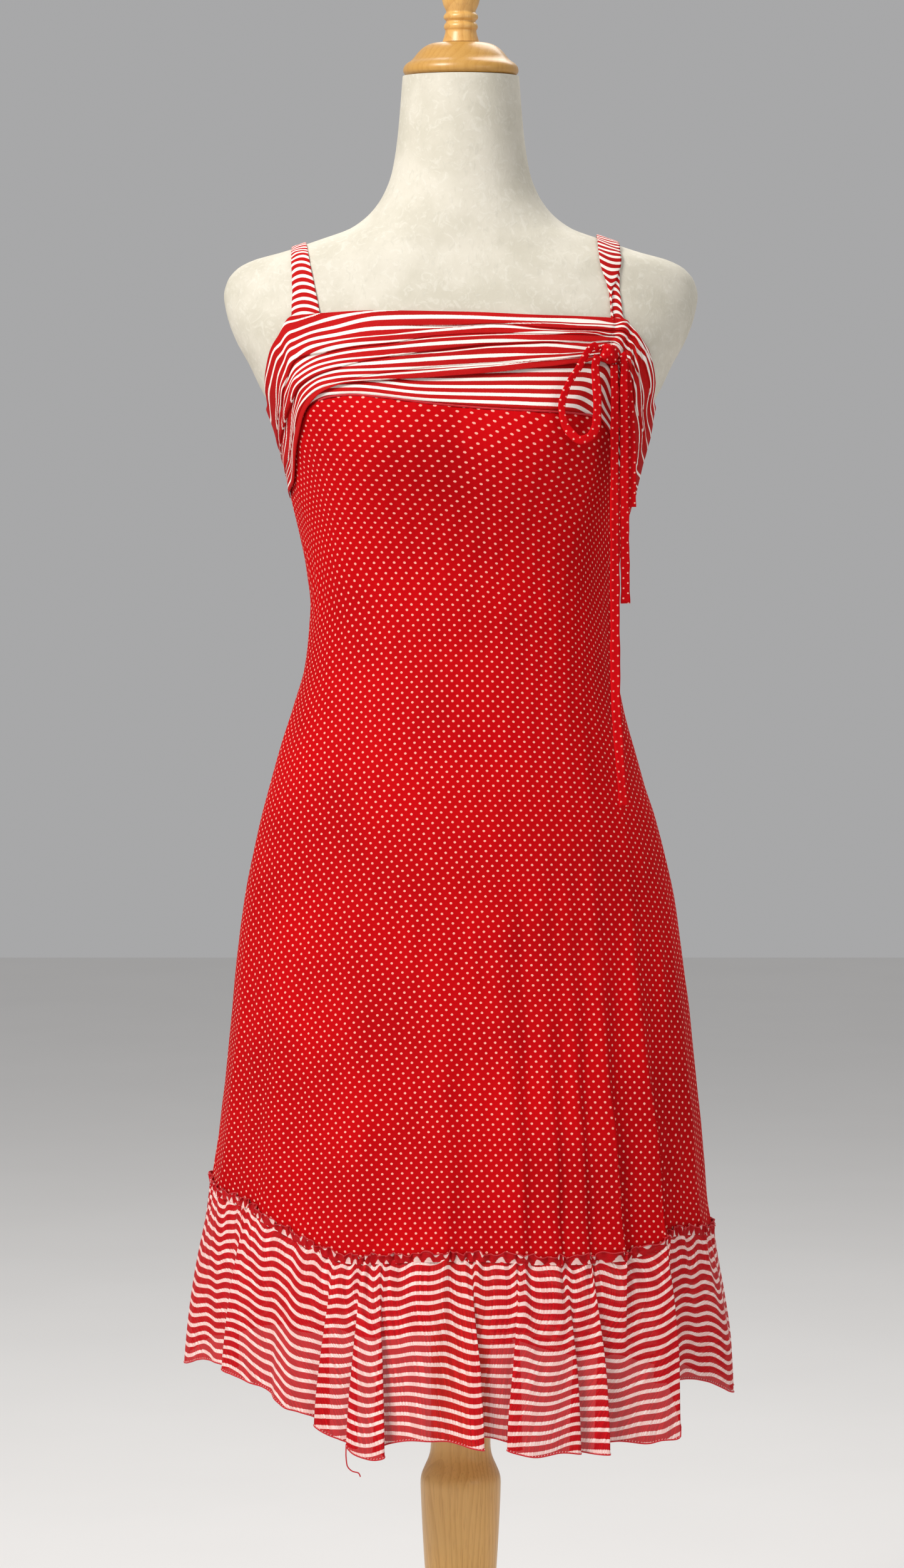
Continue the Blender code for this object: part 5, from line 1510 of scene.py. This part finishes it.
def make_ruffle(name, node_name, hem, column_count, row_count):
    """A ruffle whose even gathers at the seam turn into the wandering line of its hem."""
    line = curve_through(hem, column_count)
    hem_angle = line[:, 0]
    hem_out = line[:, 1] * 0.001
    hem_deep = line[:, 2] * 0.001
    seam_angle = even_angles(hem_angle, 61)
    seam = edge_height(RUFFLE_SEAM, seam_angle)
    skirt_out, skirt_turn = hang_of_skirt(seam_angle, seam)
    skirt_turn = skirt_turn * away_from_sides(seam_angle)
    share = np.linspace(0.0, 1.0, row_count)[:, None]
    spread = ease_in(share * 0.85 + 0.10) ** 0.8
    spread = (spread - spread[0]) / (spread[-1] - spread[0])
    angle = (seam_angle + skirt_turn) * (1 - spread) + hem_angle * spread
    number = np.linspace(0.0, column_count / 24.0, column_count)
    gathers = 0.0011 * np.sin(number * 8.7 + 1.2 * np.sin(number * 1.9)) + 0.0006 * np.sin(number * 15.1 + 0.5)
    gathers = gathers * np.exp(-share / 0.16) * np.clip(share / 0.012, 0.25, 1.0)
    crimp = 0.00035 * np.sin(number * 11.0 + 2.0 * np.sin(number * 0.8)) * share
    out = (skirt_out + 0.0004) * (1 - spread) + hem_out * spread + gathers + crimp
    uneven = 0.0026 * np.sin(number * 0.9 + 0.5) + 0.0022 * np.sin(number * 2.3)
    height = seam - SEAM_GAP - share * (hem_deep + uneven * share)
    points = lifted(DRESS, angle, height, out)
    cloth = place_on_cloth(points, column_count // 2)
    drawn_up = 0.0016 * np.sin(number * 8.7) * np.exp(-share / 0.30) + 0.0007 * np.sin(number * 5.3 + 2.0)
    sway = 0.0026 * np.sin(number * 1.9 + 3.0 * share) + 0.0014 * np.sin(number * 3.7 + 1.0)
    cloth[..., 1] = share * hem_deep + drawn_up + sway + 0.0040
    piece = make_cloth(name, points, cloth, striped_chiffon)
    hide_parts(node_name)
    print(name, "hem is", round(float(np.linalg.norm(np.diff(points[-1], axis=0), axis=1).sum()) * 1000), "mm long")
    return piece, points


ruffle_front, ruffle_front_points = make_ruffle("ruffle_front_cloth", "ruffle_front", FRONT_HEM, 720, 64)
ruffle_back, ruffle_back_points = make_ruffle("ruffle_back_cloth", "ruffle_back", BACK_HEM, 560, 56)

# %% [markdown]
# ## Heading and bound hem
# Above the seam the ruffle's raw edge stands up as a small frill, bound with red thread. The hem is bound in the
# same way, with a rolled edge and pale loops of thread. The frill is one more sheet. The roll is a thin tube along
# the hem, and each loop of thread is a tiny bead, modelled once and copied along it.

# %% Frilly heading
HEADING_TALL = 0.0040
HEADING_FOOT = 0.0030


def make_heading(name, degrees):
    """The ruffle's raw edge: a small frill that starts just below the seam and stands up in front of the skirt."""
    seam = edge_height(RUFFLE_SEAM, degrees)
    out, turn = hang_of_skirt(degrees, seam)
    out = out + pucker(degrees, 0.0, *SEAM_PUCKER)
    turn = turn * away_from_sides(degrees)
    up = np.linspace(1.0, 0.0, 7)[:, None]
    number = np.arange(len(degrees)) * 0.75
    tall = HEADING_TALL + 0.0012 * np.sin(number * 0.31) + 0.0008 * np.sin(number * 0.77 + 1.0)
    frill = 0.0011 * np.sin(number * 1.05 + 1.4 * np.sin(number * 0.17)) + 0.0007 * np.sin(number * 0.43)
    height = seam - HEADING_FOOT + up * (tall + HEADING_FOOT)
    distance = out + 0.0010 + frill * up ** 0.7 + 0.0012 * up
    sway = 0.22 * np.sin(number * 0.95) * up
    points = lifted(DRESS, degrees + turn + sway, height, distance)
    cloth = place_on_cloth(points)
    cloth[..., 1] = (1.0 - up) * 0.0045 + 0.0022 + 0.0016 * np.sin(number * 0.21) + 0.0016 * np.sin(number * 0.83)
    return make_cloth(name, points, cloth, striped_chiffon), points


heading_front, heading_front_points = make_heading("ruffle_heading_front", np.linspace(-89.8, 89.8, 900))
heading_back, heading_back_points = make_heading("ruffle_heading_back", np.linspace(90.2, 269.8, 700))
print("heading stands", HEADING_TALL * 1000, "mm above the seam")

# %% Thin tubes of thread
ROLL_RADIUS = 0.00065
HEADING_ROLL_RADIUS = 0.0005
LOOP_STEP = 0.0026
LOOP_LENGTH = 0.0024
LOOP_RADIUS = 0.00042


def make_tube(name, path, radius, material, sides=6):
    """A thin tube along many points, from a curve with a round bevel that is turned into a mesh."""
    curve = bpy.data.curves.new(name, "CURVE")
    curve.dimensions = "3D"
    spline = curve.splines.new("POLY")
    spline.points.add(len(path) - 1)
    spline.points.foreach_set("co", np.column_stack([path, np.ones(len(path))]).ravel())
    curve.bevel_depth = radius
    curve.bevel_resolution = max(0, (sides - 4) // 2)
    curve.use_fill_caps = True
    line = bpy.data.objects.new(name, curve)
    bpy.context.scene.collection.objects.link(line)
    only_select(line)
    bpy.ops.object.convert(target="MESH")
    tube = bpy.context.active_object
    tube.data.shade_smooth()
    return finish_piece(tube, name, material)


def sew_beads(name, places, directions, length, radius, material):
    """Copies one small bead of thread along a line, each turned the way it is sewn, and joins them."""
    bpy.ops.object.select_all(action="DESELECT")
    bpy.ops.mesh.primitive_uv_sphere_add(segments=6, ring_count=4, radius=1.0, location=(0.0, 0.0, 0.0))
    bead = bpy.context.active_object
    shape = np.array([vertex.co[:] for vertex in bead.data.vertices]) * np.array((radius, radius, length * 0.5))
    faces = [tuple(face.vertices) for face in bead.data.polygons]
    bpy.data.objects.remove(bead, do_unlink=True)
    axis = directions / np.linalg.norm(directions, axis=1, keepdims=True)
    helper = np.where(np.abs(axis[:, 2:3]) < 0.9, np.array((0.0, 0.0, 1.0)), np.array((1.0, 0.0, 0.0)))
    first = np.cross(helper, axis)
    first /= np.linalg.norm(first, axis=1, keepdims=True)
    second = np.cross(axis, first)
    corners = (places[:, None, :] + shape[None, :, 0:1] * first[:, None, :] + shape[None, :, 1:2] * second[:, None, :]
               + shape[None, :, 2:3] * axis[:, None, :])
    count = len(shape)
    all_faces = [tuple(n + copy * count for n in face) for copy in range(len(places)) for face in faces]
    mesh = bpy.data.meshes.new(name)
    mesh.from_pydata(corners.reshape(-1, 3).tolist(), [], all_faces)
    mesh.shade_smooth()
    piece = bpy.data.objects.new(name, mesh)
    bpy.context.scene.collection.objects.link(piece)
    return finish_piece(piece, name, material)


def evenly(path, step):
    """Points at even steps along a path, and the way it runs at each."""
    lengths = np.concatenate([[0.0], np.cumsum(np.linalg.norm(np.diff(path, axis=0), axis=1))])
    at = np.arange(step * 0.5, lengths[-1], step)
    places = np.stack([np.interp(at, lengths, path[:, n]) for n in range(3)], axis=-1)
    ahead = np.gradient(places, axis=0)
    return places, ahead / np.linalg.norm(ahead, axis=1, keepdims=True)


for side_name, ruffle_points in (("front", ruffle_front_points), ("back", ruffle_back_points)):
    hem_path = ruffle_points[-1]
    make_tube("hem_roll_" + side_name, hem_path, ROLL_RADIUS, red_thread)
    places, ahead = evenly(hem_path, LOOP_STEP)
    upward = np.tile(np.array((0.0, 0.0, 1.0)), (len(places), 1))
    lean = ahead * 0.55 + upward
    sew_beads("hem_loops_" + side_name, places + upward * 0.0004, lean, LOOP_LENGTH, LOOP_RADIUS, pink_thread)
for side_name, heading_points in (("front", heading_front_points), ("back", heading_back_points)):
    make_tube("heading_roll_" + side_name, heading_points[0], HEADING_ROLL_RADIUS, red_thread, 4)
print("hem and heading are bound")

# %% [markdown]
# ## Seam and stray thread
# A seam is more than a line: the arch under the bust stands up as a narrow ridge where the seam's edges are folded
# in, and one cut thread hangs from the hem where the sewing ends.

# %% Arch ridge
RIDGE_RADIUS = 0.0009

arch_degrees = np.linspace(-44.0, 44.5, 260)
arch_height = edge_height(ARCH_EDGE, arch_degrees) - 0.0010
arch_path = lifted(DRESS, arch_degrees, arch_height, 0.0002 + 0.0002 * np.sin(arch_degrees * 2.1))
make_tube("arch_ridge", arch_path, RIDGE_RADIUS, red_thread)
print("arch ridge:", round(float(np.linalg.norm(np.diff(arch_path, axis=0), axis=1).sum()) * 1000), "mm long")

# %% Stray thread
STRAY_THREAD = np.array((
    # how far from its start on the hem, in metres
    (0.0000, 0.0006, 0.0020), (-0.0002, -0.0012, -0.0060), (0.0007, -0.0018, -0.0150), (0.0050, -0.0016, -0.0200),
    (0.0100, -0.0018, -0.0215), (0.0115, -0.0016, -0.0245),
))
STRAY_PLACE = -0.0925
STRAY_RADIUS = 0.00055

front_hem = ruffle_front_points[-1]
stray_start = front_hem[np.argmin(np.abs(front_hem[:, 0] - STRAY_PLACE) + 0.2 * front_hem[:, 1])]
at = np.linspace(0, len(STRAY_THREAD) - 1, 40)
stray_path = np.stack([smooth(np.arange(len(STRAY_THREAD)), STRAY_THREAD[:, n], at) for n in range(3)], axis=-1)
make_tube("stray_thread", stray_path + stray_start, STRAY_RADIUS, red_thread)
print("the stray thread starts at", np.round(stray_start, 3).tolist())

# %% [markdown]
# ## Cloth facts
# The ruffle's strip is longer than the seam it hangs from, and the overlay is deeper than the part that shows,
# because the rest is in its folds.
# A sheet is declared with sides of 11 mm at least, and with no less than 31% of its rectangle.


# %% [markdown]
# ## Floor and light
# The studio is plain: a pale floor, one large soft light high on the viewer's left, a weaker one on the right to
# fill the shadows, and a gentle light from above and behind that draws the shoulders. Large lights give soft edges
# to shadows, which flatter cloth.

# %% Floor
FLOOR_WIDTH = 14.0
FLOOR_DARK = (0.76, 0.75, 0.74)
FLOOR_LIGHT = (0.80, 0.79, 0.78)

bpy.ops.object.select_all(action="DESELECT")
bpy.ops.mesh.primitive_plane_add(size=FLOOR_WIDTH, location=(0.0, 0.0, 0.0))
floor = bpy.context.active_object
floor.name = "Floor"
floor_finish, floor_tree, floor_shader = new_finish("Pale floor", 0.9)
floor_tone = cloudy(floor_tree, object_place(floor_tree), 3.0)
floor_tree.links.new(blend(floor_tree, floor_tone, FLOOR_DARK, FLOOR_LIGHT), floor_shader.inputs["Base Color"])
floor.data.materials.append(floor_finish)
print("floor is", FLOOR_WIDTH, "m wide")

# %% Lights
LIGHTS = (
    # name, place, aimed at, size, watts, colour
    ("Key", (-2.2, -2.3, 3.9), (0.0, 0.0, 1.05), 1.6, 175.0, (1.0, 0.975, 0.94)),
    ("Fill", (2.8, -3.0, 1.9), (0.0, 0.0, 0.95), 2.4, 22.0, (0.97, 0.98, 1.0)),
    ("Top", (0.4, 1.6, 3.2), (0.0, 0.0, 1.20), 1.8, 40.0, (1.0, 0.99, 0.97)),
)
ROOM_COLOUR = (0.93, 0.93, 0.94, 1.0)
ROOM_STRENGTH = 0.42

for light_name, light_place, aim, size, watts, tint in LIGHTS:
    light_data = bpy.data.lights.new(light_name, "AREA")
    light_data.shape = "SQUARE"
    light_data.size = size
    light_data.energy = watts
    light_data.color = tint
    light = bpy.data.objects.new(light_name, light_data)
    light.location = light_place
    towards = np.array(aim) - np.array(light_place)
    flat = math.hypot(towards[0], towards[1])
    light.rotation_euler = (math.atan2(flat, -towards[2]), 0.0, math.atan2(-towards[0], towards[1]))
    bpy.context.scene.collection.objects.link(light)
world = bpy.data.worlds.new("Pale room")
bpy.context.scene.world = world
world.use_nodes = True
room = world.node_tree.nodes["Background"]
room.inputs["Color"].default_value = ROOM_COLOUR
room.inputs["Strength"].default_value = ROOM_STRENGTH
bpy.context.scene.view_settings.view_transform = "Standard"
print("lights:", len(LIGHTS))

# %% The end
bpy.context.view_layer.update()
